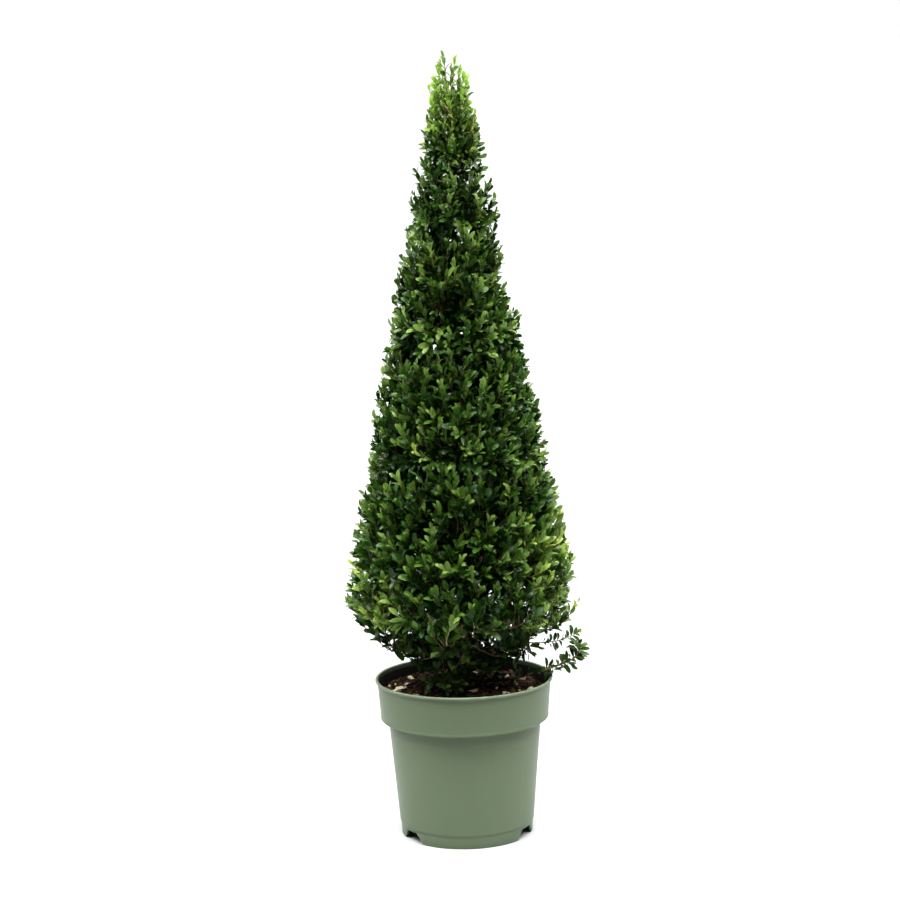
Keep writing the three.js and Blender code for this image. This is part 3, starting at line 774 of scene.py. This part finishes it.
def grow_mass(mass, start, along, stem_radius):
    """A mass of foliage: the source's stem and twigs, then finer twigs, each with its leaves."""
    leaves, twigs = Leaves(), Tubes()
    stem = stem_curve(mass, start, along)
    twigs.add_curve(stem, stem_radius, 0.5 * stem_radius, 6, 8)
    mains = main_twigs(mass, stem)
    curves = list(mains.values())
    for curve in curves:
        twigs.add_curve(curve, MAIN_TWIG_RADIUS, FINE_TWIG_RADIUS, 5, 6)
    ends = np.array([curve[-1] for curve in curves])
    buds = np.array([bezier(curve, share) for curve in curves for share in BUD_SHARES])
    grown = 0
    k = -1
    while grown < mass.shoots + mass.inner:
        k += 1
        place = outline_place(mass, k)
        if place is None:
            continue
        inside = grown >= mass.shoots
        grown += 1
        if left_open(mass, k, place, inside):
            continue
        direction = shoot_direction(mass, k, place)
        sunk = hollow(place)
        depth = shoot_depth(mass, k, place, inside, sunk)
        end = place.tip - place.outward * depth - direction * TIP_STANDBACK
        end[2] = min(end[2], CROWN_TOP - 0.7 * LEAF_LENGTH)
        near = end - direction * ROOT_BACK
        low = place.height < UNDERCUT_BELOW
        if low:
            root = buds[nearest(buds, near)]
        elif k in mains:
            root = mains[k][-1]
        else:
            root = bezier(curves[nearest(ends, near)], 0.3 + 0.62 * chance(mass.seed, k, 5))
        curve = free_curve(root, end, direction)
        wood = OLD_BARK if inside or low else YOUNG_BARK
        twigs.add_curve(curve, FINE_TWIG_RADIUS, TWIG_TIP_RADIUS, 3, 5, wood)
        count = 7 + int((3 if inside else 7) * chance(mass.seed, k, 15))
        # Shoots inside the crown take the deepest green, partly for their older leaves and partly
        # as painted shade; shoots deep in a hollow take it as painted shade.
        tone = DEEP if inside or sunk > HOLLOW_SHADE_FROM else shoot_tone(place, mass, k)
        dress(leaves, curve, place, count, tone, mass.seed, k, shoot_leaf_length(place))
    return leaves, twigs


# The free shoots at the tip, each by its place and its leaf length, and the dry twigs by theirs.
TIP_SHOOTS = (
    (-9, -3, 1224, 15), (-17, -5, 1207, 17), (8, 2, 1219, 12), (20, -6, 1195, 19),
    (26, 2, 1180, 15), (-31, -8, 1176, 19), (2, 8, 1192, 16), (-21, -11, 1188, 18),
    (12, -10, 1182, 18), (-6, -12, 1186, 18), (-14, 3, 1178, 20), (16, -14, 1168, 20),
    (4, -18, 1170, 20), (-24, -4, 1166, 20), (22, 8, 1166, 20), (-13, -9, 1211, 15),
    (3, -7, 1206, 15), (15, -4, 1204, 15), (-24, -2, 1190, 16), (24, -8, 1184, 16),
    (33, -4, 1130, 16), (29, 8, 1143, 16), (-35, -6, 1132, 16), (38, -10, 1114, 16),
    (26, -16, 1138, 16), (-38, 4, 1112, 16), (35, 2, 1122, 16), (-30, -14, 1142, 16),
)
DRY_TWIGS = (
    ((27, -14, 1062), (35, -16, 1122)), ((31, -12, 1068), (37, -10, 1112)),
    ((25, -18, 1075), (33, -20, 1108)), ((8, -26, 1114), (-9, -33, 1141)),
)
TIP_MIDDLE_BELOW = 1125
TIP_FRESH_BELOW = 1150


def tip_tone(n, height):
    if height < TIP_MIDDLE_BELOW:
        return MIDDLE
    return FRESH if height < TIP_FRESH_BELOW or n % 4 == 0 else SPRING


def grow_tip_shoot(leaves, twigs, n, tip, leaf_length):
    """An upright shoot at the tip of the crown, standing free of its neighbours."""
    root = vec(0.3 * tip[0], 0.3 * tip[1], min(tip[2] - 75, CROWN_TOP - 70))
    place = growth(crest, n, math.atan2(tip[1], tip[0]), tip[2] - 60)
    curve = twig_curve(root, tip - UP * 0.7 * leaf_length, unit(UP + place.outward * 0.12))
    twigs.add_curve(curve, FINE_TWIG_RADIUS, TWIG_TIP_RADIUS, 3, 6, YOUNG_BARK)
    dress(leaves, curve, place, 9, tip_tone(n, tip[2]), 41, n, leaf_length)


def show_mass(name, leaves, twigs, node):
    """A mass's leaves and twigs as two pieces."""
    points, faces, tones = leaves.mesh()
    belongs(make_piece(f"leaves_{name}", points, faces, leaf_materials, tones), "leaves", node)
    wood = make_piece(f"twigs_{name}", np.concatenate(twigs.points), np.concatenate(twigs.faces),
                      twig_materials, np.concatenate(twigs.deal))
    belongs(wood, "bark", node)


# Wood with the relief of bark.
RIDGE = 0.1
TRUNK_SIDES = 20
TRUNK_RINGS = 110
BOUGH_SIDES = 12
BOUGH_RINGS = 36


def bark_radii(points, radii, sides):
    """Radii round each point of a limb, with ridges that run along it."""
    turn = np.linspace(0, 2 * math.pi, sides, endpoint=False)
    rows = []
    for point, radius in zip(points, radii):
        along = point[2] * 0.03 + point[0] * 0.02
        row = []
        for angle in turn:
            place = Vector((math.cos(angle) * 2.2, math.sin(angle) * 2.2, along))
            rough = noise.noise(place) + 0.5 * noise.noise(place * 2.7)
            row.append(radius * (1 + RIDGE * rough))
        rows.append(row)
    return np.array(rows)


def show_limb(name, points, radii, sides, node):
    tube = Tubes()
    tube.add(points, bark_radii(points, radii, sides), sides)
    belongs(make_piece(name, tube.points[0], tube.faces[0], [bark]), "bark", node)


def show_trunk(line):
    foot, tip = line[0][2], line[-1][2]
    heights = foot + (tip - foot) * np.linspace(0, 1, TRUNK_RINGS) ** 1.4
    points = np.array([trunk_point(line, height) for height in heights])
    taper = mix(TRUNK_RADIUS, TRUNK_TIP_RADIUS, (heights - foot) / (tip - foot))
    flare = FLARE_RADIUS * np.exp(-(heights - foot) / FLARE_HEIGHT)
    show_limb("bark_trunk", points, taper + flare, TRUNK_SIDES, "trunk")


def show_bough(name, curve, start_radius, end_radius):
    shares = np.linspace(0, 1, BOUGH_RINGS)
    points = np.array([bezier(curve, share) for share in shares])
    radii = mix(start_radius, end_radius, shares)
    show_limb(f"bark_{name}", points, radii, BOUGH_SIDES, f"bough_{name}")


crest = lay_out_crest()
line = trunk_line(crest.low + 2)
show_trunk(line)
for mass in lay_out_masses():
    bough = bough_curve(mass, line)
    tip_radius = BOUGH_TIP_SHARE * mass.bough_radius
    show_bough(mass.name, bough, mass.bough_radius, tip_radius)
    leaves, twigs = grow_mass(mass, bough[-1], heading(bough, 1), tip_radius)
    show_mass(mass.name, leaves, twigs, f"foliage_{mass.name}")
leaves, twigs = grow_mass(crest, line[-1], UP, TRUNK_TIP_RADIUS)
for n, (x, y, z, leaf_length) in enumerate(TIP_SHOOTS):
    grow_tip_shoot(leaves, twigs, n, vec(x, y, z), leaf_length)
for root, tip in DRY_TWIGS:
    twigs.add_curve([vec(*root), vec(*tip)], FINE_TWIG_RADIUS, TWIG_TIP_RADIUS, 4, 5, DRY_WOOD)
show_mass(crest.name, leaves, twigs, "foliage_crest")

# The loose shoot on the right and the short one at the foot of the trunk.
SIDE_TWIG_SHARES = (0.03, 0.1, 0.18, 0.3, 0.44, 0.57, 0.69, 0.8, 0.9)
SIDE_TWIG_LENGTH = 13
FOOT_SPRIG_TIPS = ((-58, -84, 262), (-30, -92, 256), (-8, -84, 262), (-48, -78, 286),
                   (-18, -90, 284), (8, -80, 290), (-34, -82, 304))
loose = SimpleNamespace(sideways=vec(0.8, 0.5, 0), light=vec(0.1, -1.3, 0.5), spread=0.45, turn=2.8,
                        reaches=lambda end: True)


def show_side_shoot():
    """The low bough over the soil, the shoot that it carries and a sprig above it."""
    bough = [vec(0, 0, SOIL_MIDDLE_HEIGHT + 10), vec(60, -34, SOIL_MIDDLE_HEIGHT + 9),
             vec(118, -16, POT_HEIGHT + 8)]
    show_bough("side_shoot", bough, SIDE_BOUGH_RADIUS, SHOOT_RADIUS)
    start = bough[-1]
    stem = [start, start + heading(bough, 1) * 40, vec(SIDE_SHOOT_REACH - 2, -4, POT_HEIGHT + 20),
            vec(SIDE_SHOOT_REACH - 6, -6, SIDE_SHOOT_HEIGHT - 0.9 * SIDE_LEAF_LENGTH)]
    wood, leaves = Tubes(), Leaves()
    wood.add_curve(stem, SHOOT_RADIUS, 0.35 * SHOOT_RADIUS, 6, 20, YOUNG_BARK)
    dress(leaves, stem, loose, 26, MIDDLE, 51, 1, 17, 1.5)
    for n, share in enumerate(SIDE_TWIG_SHARES):
        bud = bezier(stem, share)
        way = unit(heading(stem, share) + vec(0.5, -0.4, 0.9) * (1 if n % 2 else -0.7))
        twig = twig_curve(bud, bud + way * SIDE_TWIG_LENGTH, way)
        wood.add_curve(twig, 0.4 * SHOOT_RADIUS, TWIG_TIP_RADIUS, 4, 3, YOUNG_BARK)
        dress(leaves, twig, loose, 5, DARK if n % 3 else MIDDLE, 55, n, 15, 2)
    dress(leaves, bough, loose, 16, DARK, 53, 1, 19)
    sprig = [vec(98, -20, 306), vec(148, -24, 302), vec(181, -12, 318)]
    wood.add_curve(sprig, 0.5 * SHOOT_RADIUS, TWIG_TIP_RADIUS, 4, 8, YOUNG_BARK)
    dress(leaves, sprig, loose, 24, MIDDLE, 54, 1, 17, 1.6)
    show_mass("side_shoot", leaves, wood, "foliage_side_shoot")


def show_foot_shoot():
    """The short shoot in front of the trunk, with its sprigs."""
    stem = [vec(0, 0, SOIL_MIDDLE_HEIGHT + 8), vec(-26, -40, SOIL_MIDDLE_HEIGHT + 5),
            vec(-32, -56, SOIL_MIDDLE_HEIGHT + 12)]
    wood, leaves = Tubes(), Leaves()
    wood.add_curve(stem, SHOOT_RADIUS, 0.35 * SHOOT_RADIUS, 6, 16, YOUNG_BARK)
    dress(leaves, stem, loose, 16, MIDDLE, 52, 1, 20, 1.4)
    for n, place in enumerate(FOOT_SPRIG_TIPS):
        tip = vec(*place)
        way = unit(tip - vec(-20, -30, 230))
        twig = twig_curve(bezier(stem, 0.4 + 0.08 * n), tip, way)
        wood.add_curve(twig, 0.4 * SHOOT_RADIUS, TWIG_TIP_RADIUS, 4, 6, YOUNG_BARK)
        dress(leaves, twig, loose, 9, MIDDLE if n % 3 else DARK, 56, n, 17, 1.3)
    show_mass("foot_shoot", leaves, wood, "foliage_foot_shoot")


show_side_shoot()
show_foot_shoot()

# The pot, with its profile as radius and height from the middle of its base up, over and down.
POT_STATIONS = 160
LEAST_STATION_GAP = 0.006
FOOT_RADIUS = 103
NOTCHES = 3
FIRST_NOTCH = -27
NOTCH_HALF_TURN = math.asin(25 / FOOT_RADIUS)
NOTCH_TOP_HALF_TURN = math.asin(13 / FOOT_RADIUS)
NOTCH_TURNS = [math.radians(FIRST_NOTCH + 360 / NOTCHES * n) for n in range(NOTCHES)]
NOTCH_TOP = 15.7
DRAINS = 6
DRAIN_CIRCLE = 80
DRAIN_RADIUS = 7
DRAIN_FOOT = 15
DRAIN_TOP = 28
INNER_WALL = ((0.2, 23), (103.8, 23), (104.6, 26), (118.8, 187.2), (130.3, 189.2))
LIP = (
    (134.6, 243), (135.4, 246.5), (136.2, 248.8), (137.6, 249.8), (139.2, 249.9), (140.2, 249),
    (140.5, 247.6), (140.2, 246), (139.2, 245), (137.4, 244.6),
)
OUTER_WALL = (
    (137, 243.6), (136.9, 242), (133.1, 193), (132.95, 191), (133.2, 189.6), (133.4, 188.2),
    (133.2, 186.9), (132.5, 186.1), (131.2, 185.7), (122.4, 185), (121.4, 184.6), (120.9, 183.6),
    (120.75, 182), (106.75, 24.2), (106.6, 22.4), (106.2, 20.8), (105.4, 20.2), (105, 19.6),
    (104.85, 15.8), (104.1, 1), (103.6, 0), (101.4, 0), (101, 0.6), (101, 20), (0.2, 20),
)
POT_PROFILE = INNER_WALL + LIP + OUTER_WALL
# Faces on the top of the rolled lip, counted after the inner wall, are painted lighter: a painted
# highlight.
LIP_HIGHLIGHT_FACES = range(2, 6)
CREASE = math.radians(32)
SAGE, INNER_SHADE, LIP_HIGHLIGHT = range(3)


def pot_stations():
    """Angles round the pot, each with the height up to which the foot is cut away there."""
    corners = [(turn + edge * half) % (2 * math.pi) for turn in NOTCH_TURNS for edge in (-1, 1)
               for half in (NOTCH_TOP_HALF_TURN, NOTCH_HALF_TURN)]
    evenly = [2 * math.pi * i / POT_STATIONS for i in range(POT_STATIONS)]
    angles = corners + [angle for angle in evenly
                        if min(abs(angle - corner) for corner in corners) > LEAST_STATION_GAP]
    stations = []
    for angle in sorted(angles):
        off = min(abs(math.remainder(angle - turn, 2 * math.pi)) for turn in NOTCH_TURNS)
        inside = (NOTCH_HALF_TURN - off) / (NOTCH_HALF_TURN - NOTCH_TOP_HALF_TURN)
        stations.append((angle, NOTCH_TOP * min(1, max(0, inside))))
    return stations


def drain_cutter(material):
    """Upright rods where the base has its drain holes."""
    rods = Tubes()
    for i in range(DRAINS):
        place = polar(2 * math.pi * i / DRAINS, DRAIN_CIRCLE, 0)
        ends = np.array([place + UP * DRAIN_FOOT, place + UP * DRAIN_TOP])
        rods.add(ends, [DRAIN_RADIUS, DRAIN_RADIUS], 24)
    points, faces = np.concatenate(rods.points), np.concatenate(rods.faces)
    return make_piece("drain_cutter", points, faces, [material])


def show_pot(materials):
    """The pot's shell, turned from its profile, with its notches and drain holes."""
    stations = pot_stations()
    points = [polar(angle, radius, max(height, cut)) for angle, cut in stations
              for radius, height in POT_PROFILE]
    rows, columns = len(stations), len(POT_PROFILE)
    faces, deal = [], []
    for i in range(rows):
        for j in range(columns):
            a, b = i * columns, ((i + 1) % rows) * columns
            faces.append((a + j, a + (j + 1) % columns, b + (j + 1) % columns, b + j))
            # The inner wall is painted near-black: painted shade inside the pot.
            past_wall = j - len(INNER_WALL)
            # The top of the rolled lip is painted lighter: a painted highlight.
            deal.append(INNER_SHADE if past_wall < 0 else LIP_HIGHLIGHT if past_wall in LIP_HIGHLIGHT_FACES else SAGE)
    pot = make_piece("pot_shell", points, faces, materials, deal)
    cutter = drain_cutter(materials[0])
    cut = pot.modifiers.new("drains", "BOOLEAN")
    cut.operation = "DIFFERENCE"
    cut.solver = "EXACT"
    cut.object = cutter
    bpy.context.view_layer.update()
    pot_cut = pot.evaluated_get(bpy.context.evaluated_depsgraph_get())
    finished = bpy.data.meshes.new_from_object(pot_cut)
    pot.modifiers.clear()
    pot.data = finished
    bpy.data.objects.remove(cutter)
    finished.set_sharp_from_angle(angle=CREASE)
    belongs(pot, "pot", "pot")


sage_plastic = plain("sage_plastic", (0.120, 0.160, 0.096), 0.42, 0.35)
# Painted shade for the pot's inner wall.
inner_shade_plastic = plain("inner_shade_plastic", (0.022, 0.024, 0.018), 0.7)
# Painted highlight for the top of the lip.
lip_highlight_plastic = plain("lip_highlight_plastic", (0.20, 0.25, 0.16), 0.5, 0.3)
show_pot([sage_plastic, inner_shade_plastic, lip_highlight_plastic])

# The soil, with its crumbs and wood chips.
SOIL_RINGS = 70
SOIL_SPOKES = 200
SOIL_SIDE = ((129.4, 189.8), (118, 188), (103.4, 24))
SOIL_FOOT = 24
SOIL_LUMPS = ((2.6, 0.045), (1.7, 0.13), (1.3, 0.37))
CRUMBS = 1500
BLOCK_CREASE = math.radians(50)
BLOCK_QUADS = ((0, 2, 3, 1), (4, 5, 7, 6), (0, 1, 5, 4), (2, 6, 7, 3), (0, 4, 6, 2), (1, 3, 7, 5))
CHIPS = (
    (14, -32, 8, 5), (-115, 26, 7, 4), (-99, 5, 10, 5), (-85, 69, 7, 3), (65, -43, 6, 4),
    (84, 13, 6, 3), (104, -15, 6, 4), (29, 25, 4, 2), (-72, -49, 9, 2), (-108, -12, 8, 4),
    (88, -28, 4, 3), (-92, 34, 6, 3), (52, -20, 3, 2), (-60, -28, 4, 2), (70, 60, 7, 4),
    (20, 90, 8, 4), (-40, 95, 6, 3), (95, 45, 6, 3), (-20, -90, 8, 4), (40, -100, 7, 3),
    (-75, -85, 6, 4), (100, -70, 6, 3), (5, -112, 5, 3),
)


def soil_height(x, y):
    """The height of the uneven soil at a place."""
    share = min(1, math.hypot(x, y) / SOIL_RADIUS)
    place = Vector((x, y, 0))
    lumps = sum(size * noise.noise(place * scale) for size, scale in SOIL_LUMPS)
    return mix(SOIL_MIDDLE_HEIGHT, SOIL_EDGE_HEIGHT, share) - 0.6 + lumps


def show_soil(material):
    """The bed of soil: its uneven top in rings, then its sides and its foot."""
    turns = [2 * math.pi * spoke / SOIL_SPOKES for spoke in range(SOIL_SPOKES)]
    points = [vec(0, 0, soil_height(0, 0))]
    for ring in range(1, SOIL_RINGS + 1):
        for turn in turns:
            place = polar(turn, SOIL_RADIUS * ring / SOIL_RINGS, 0)
            points.append(vec(place[0], place[1], soil_height(place[0], place[1])))
    for radius, height in SOIL_SIDE:
        points += [polar(turn, radius, height) for turn in turns]
    points.append(vec(0, 0, SOIL_FOOT))
    faces = []
    rings = SOIL_RINGS + len(SOIL_SIDE)
    rim = 1 + (rings - 1) * SOIL_SPOKES
    last = len(points) - 1
    for spoke in range(SOIL_SPOKES):
        beside = (spoke + 1) % SOIL_SPOKES
        faces.append((0, 1 + spoke, 1 + beside))
        for ring in range(rings - 1):
            a, b = 1 + ring * SOIL_SPOKES, 1 + (ring + 1) * SOIL_SPOKES
            faces += [(a + spoke, b + spoke, a + beside), (a + beside, b + spoke, b + beside)]
        faces.append((rim + spoke, last, rim + beside))
    belongs(make_piece("soil_bed", points, faces, [material]), "soil", "soil")


def block(place, half_sizes, turn, seed):
    """A rough block: eight corners moved about a little, and its triangles."""
    corners = []
    for n in range(8):
        signs = [1 if n >> axis & 1 else -1 for axis in range(3)]
        corner = np.array([sign * half for sign, half in zip(signs, half_sizes)])
        corner = corner * np.array([0.6 + 0.55 * chance(seed, n, axis) for axis in range(3)])
        corners.append(corner)
    turned = np.array(corners) @ np.array(turn).T + place
    return turned, [half for a, b, c, d in BLOCK_QUADS for half in ((a, b, c), (a, c, d))]


def show_blocks(name, blocks, materials):
    """Rough blocks joined to one piece, each with its colour number."""
    points, faces, deal, count = [], [], [], 0
    for place, sizes, turn, seed, tone in blocks:
        corners, triangles = block(place, sizes, turn, seed)
        points.append(corners)
        faces.append(np.array(triangles) + count)
        deal.append(np.full(len(triangles), tone))
        count += len(corners)
    piece = make_piece(name, np.concatenate(points), np.concatenate(faces), materials,
                       np.concatenate(deal), BLOCK_CREASE)
    belongs(piece, "soil")


def any_turn(seed, steep):
    """A turn about all three axes, tipped over by no more than half of steep."""
    spin = Matrix.Rotation(6.28 * chance(seed, 1, 1), 3, "Z")
    nod = Matrix.Rotation(steep * (chance(seed, 2, 1) - 0.5), 3, "X")
    bank = Matrix.Rotation(steep * (chance(seed, 3, 1) - 0.5), 3, "Y")
    return [list(row) for row in spin @ nod @ bank]


def crumbs():
    for n in range(CRUMBS):
        radius = (SOIL_RADIUS - 5) * math.sqrt(chance(n, 5, 61))
        place = polar(6.2832 * chance(n, 6, 61), radius, 0)
        size = 0.9 + 2.6 * chance(n, 7, 61) ** 3
        sizes = [size * (0.7 + 0.7 * chance(n, 8, axis)) for axis in range(3)]
        place[2] = soil_height(place[0], place[1]) + 0.3 * size
        yield place, sizes, any_turn(n + 100, 3.0), n, int(chance(n, 9, 61) * 2.2)


def chips():
    for n, (x, y, long, wide) in enumerate(CHIPS):
        place = vec(x, y, soil_height(x, y) + 1.2)
        yield place, (long, wide, 0.8 + 0.3 * wide), any_turn(n + 3, 0.8), n, n % 3


soil_dark = mottled("soil_dark", ((0.014, 0.010, 0.007), (0.060, 0.038, 0.024)), 90, 0.95, 0.8, 300)
crumb_materials = [
    plain("crumb_dark", (0.026, 0.017, 0.011), 0.95, 0.2),
    plain("crumb_brown", (0.080, 0.048, 0.030), 0.9, 0.2),
    plain("crumb_red", (0.120, 0.056, 0.032), 0.9, 0.2),
]
chip_materials = [plain(f"chip_{n}", color, 0.8, 0.3) for n, color in enumerate(
    ((0.82, 0.67, 0.43), (0.62, 0.46, 0.28), (0.76, 0.63, 0.48)))]
show_soil(soil_dark)
show_blocks("soil_crumbs", crumbs(), crumb_materials)
show_blocks("soil_chips", chips(), chip_materials)

# Floor, backdrop, light and camera, in metres.
FLOOR_HALF_WIDTH = 8
FLOOR_FRONT = -5
FLOOR_BACK = 2.2
COVE_RADIUS = 1.5
BACKDROP_TOP = 7
# Each light by its place, target, width, height, power and spread in degrees.
LIGHTS = (
    ("left_box", (-1.8, -0.8, 3.0), (0, 0, 0.7), 1.2, 1.4, 7.4, 45),
    ("right_box", (1.8, -0.8, 3.0), (0, 0, 0.7), 1.2, 1.4, 7.4, 45),
    ("front_box", (0, -2.0, 2.4), (0, 0, 0.3), 1.0, 0.8, 1.5, 40),
    ("top_box", (0, -0.8, 2.4), (0, -0.15, 0), 1.0, 0.8, 4.3, 40),
    ("left_card", (-2.2, 0.3, 0.8), (0, 0, 0.5), 2.0, 1.6, 9, 180),
    ("right_card", (2.2, 0.3, 0.8), (0, 0, 0.5), 2.0, 1.6, 9, 180),
    ("back_box", (0, 1.7, 3.4), (0, 0.9, 0), 3.0, 1.2, 62, 180),
    ("wall_box", (0, 1.2, 4.4), (0, 3.6, 1.4), 6.5, 1.0, 430, 180),
)
WORLD_STRENGTH = 0.03
CAMERA_PLACE = (-0.0133, -3.2, 1.0381)
CAMERA_PITCH = 0.1327
CAMERA_ROLL = 0.0242
FOCAL_LENGTH = 82.79
SENSOR_WIDTH = 36


def show_floor():
    """A pale floor that curves up into the backdrop."""
    way = [(FLOOR_FRONT, 0), (FLOOR_BACK, 0)]
    way += [(FLOOR_BACK + COVE_RADIUS * math.sin(a), COVE_RADIUS - COVE_RADIUS * math.cos(a))
            for a in np.linspace(0.1, 1.57, 16)]
    way.append((FLOOR_BACK + COVE_RADIUS, BACKDROP_TOP))
    points = [vec(x, y, z) / MM for y, z in way for x in (-FLOOR_HALF_WIDTH, FLOOR_HALF_WIDTH)]
    faces = [(2 * i, 2 * i + 1, 2 * i + 3, 2 * i + 2) for i in range(len(way) - 1)]
    white = plain("studio_white", (0.47, 0.47, 0.475), 0.9, 0.1)
    floor = make_piece("studio_floor", points, faces, [white])


def soft_light(name, place, target, width, height, power, spread):
    lamp = bpy.data.lights.new(name, "AREA")
    lamp.spread = math.radians(spread)
    lamp.shape = "RECTANGLE"
    lamp.size = width
    lamp.size_y = height
    lamp.energy = power
    holder = bpy.data.objects.new(name, lamp)
    holder.location = place
    aim = (Vector(target) - Vector(place)).to_track_quat("-Z", "Y")
    holder.rotation_euler = aim.to_euler()
    bpy.context.scene.collection.objects.link(holder)


show_floor()
for light in LIGHTS:
    soft_light(*light)
world = bpy.data.worlds.new("studio_world")
world.use_nodes = True
backdrop = world.node_tree.nodes["Background"]
backdrop.inputs["Color"].default_value = (1, 1, 1, 1)
backdrop.inputs["Strength"].default_value = WORLD_STRENGTH
bpy.context.scene.world = world
bpy.context.scene.view_settings.view_transform = "Standard"
bpy.context.scene.view_settings.look = "Medium High Contrast"

lens = bpy.data.cameras.new("photo_camera")
lens.sensor_width = SENSOR_WIDTH
lens.lens = FOCAL_LENGTH
camera = bpy.data.objects.new("photo_camera", lens)
pitch = Matrix.Rotation(math.pi / 2 - CAMERA_PITCH, 4, "X")
roll = Matrix.Rotation(-CAMERA_ROLL, 4, "Z")
camera.matrix_world = Matrix.Translation(CAMERA_PLACE) @ (pitch @ roll)
bpy.context.scene.collection.objects.link(camera)
bpy.context.scene.camera = camera
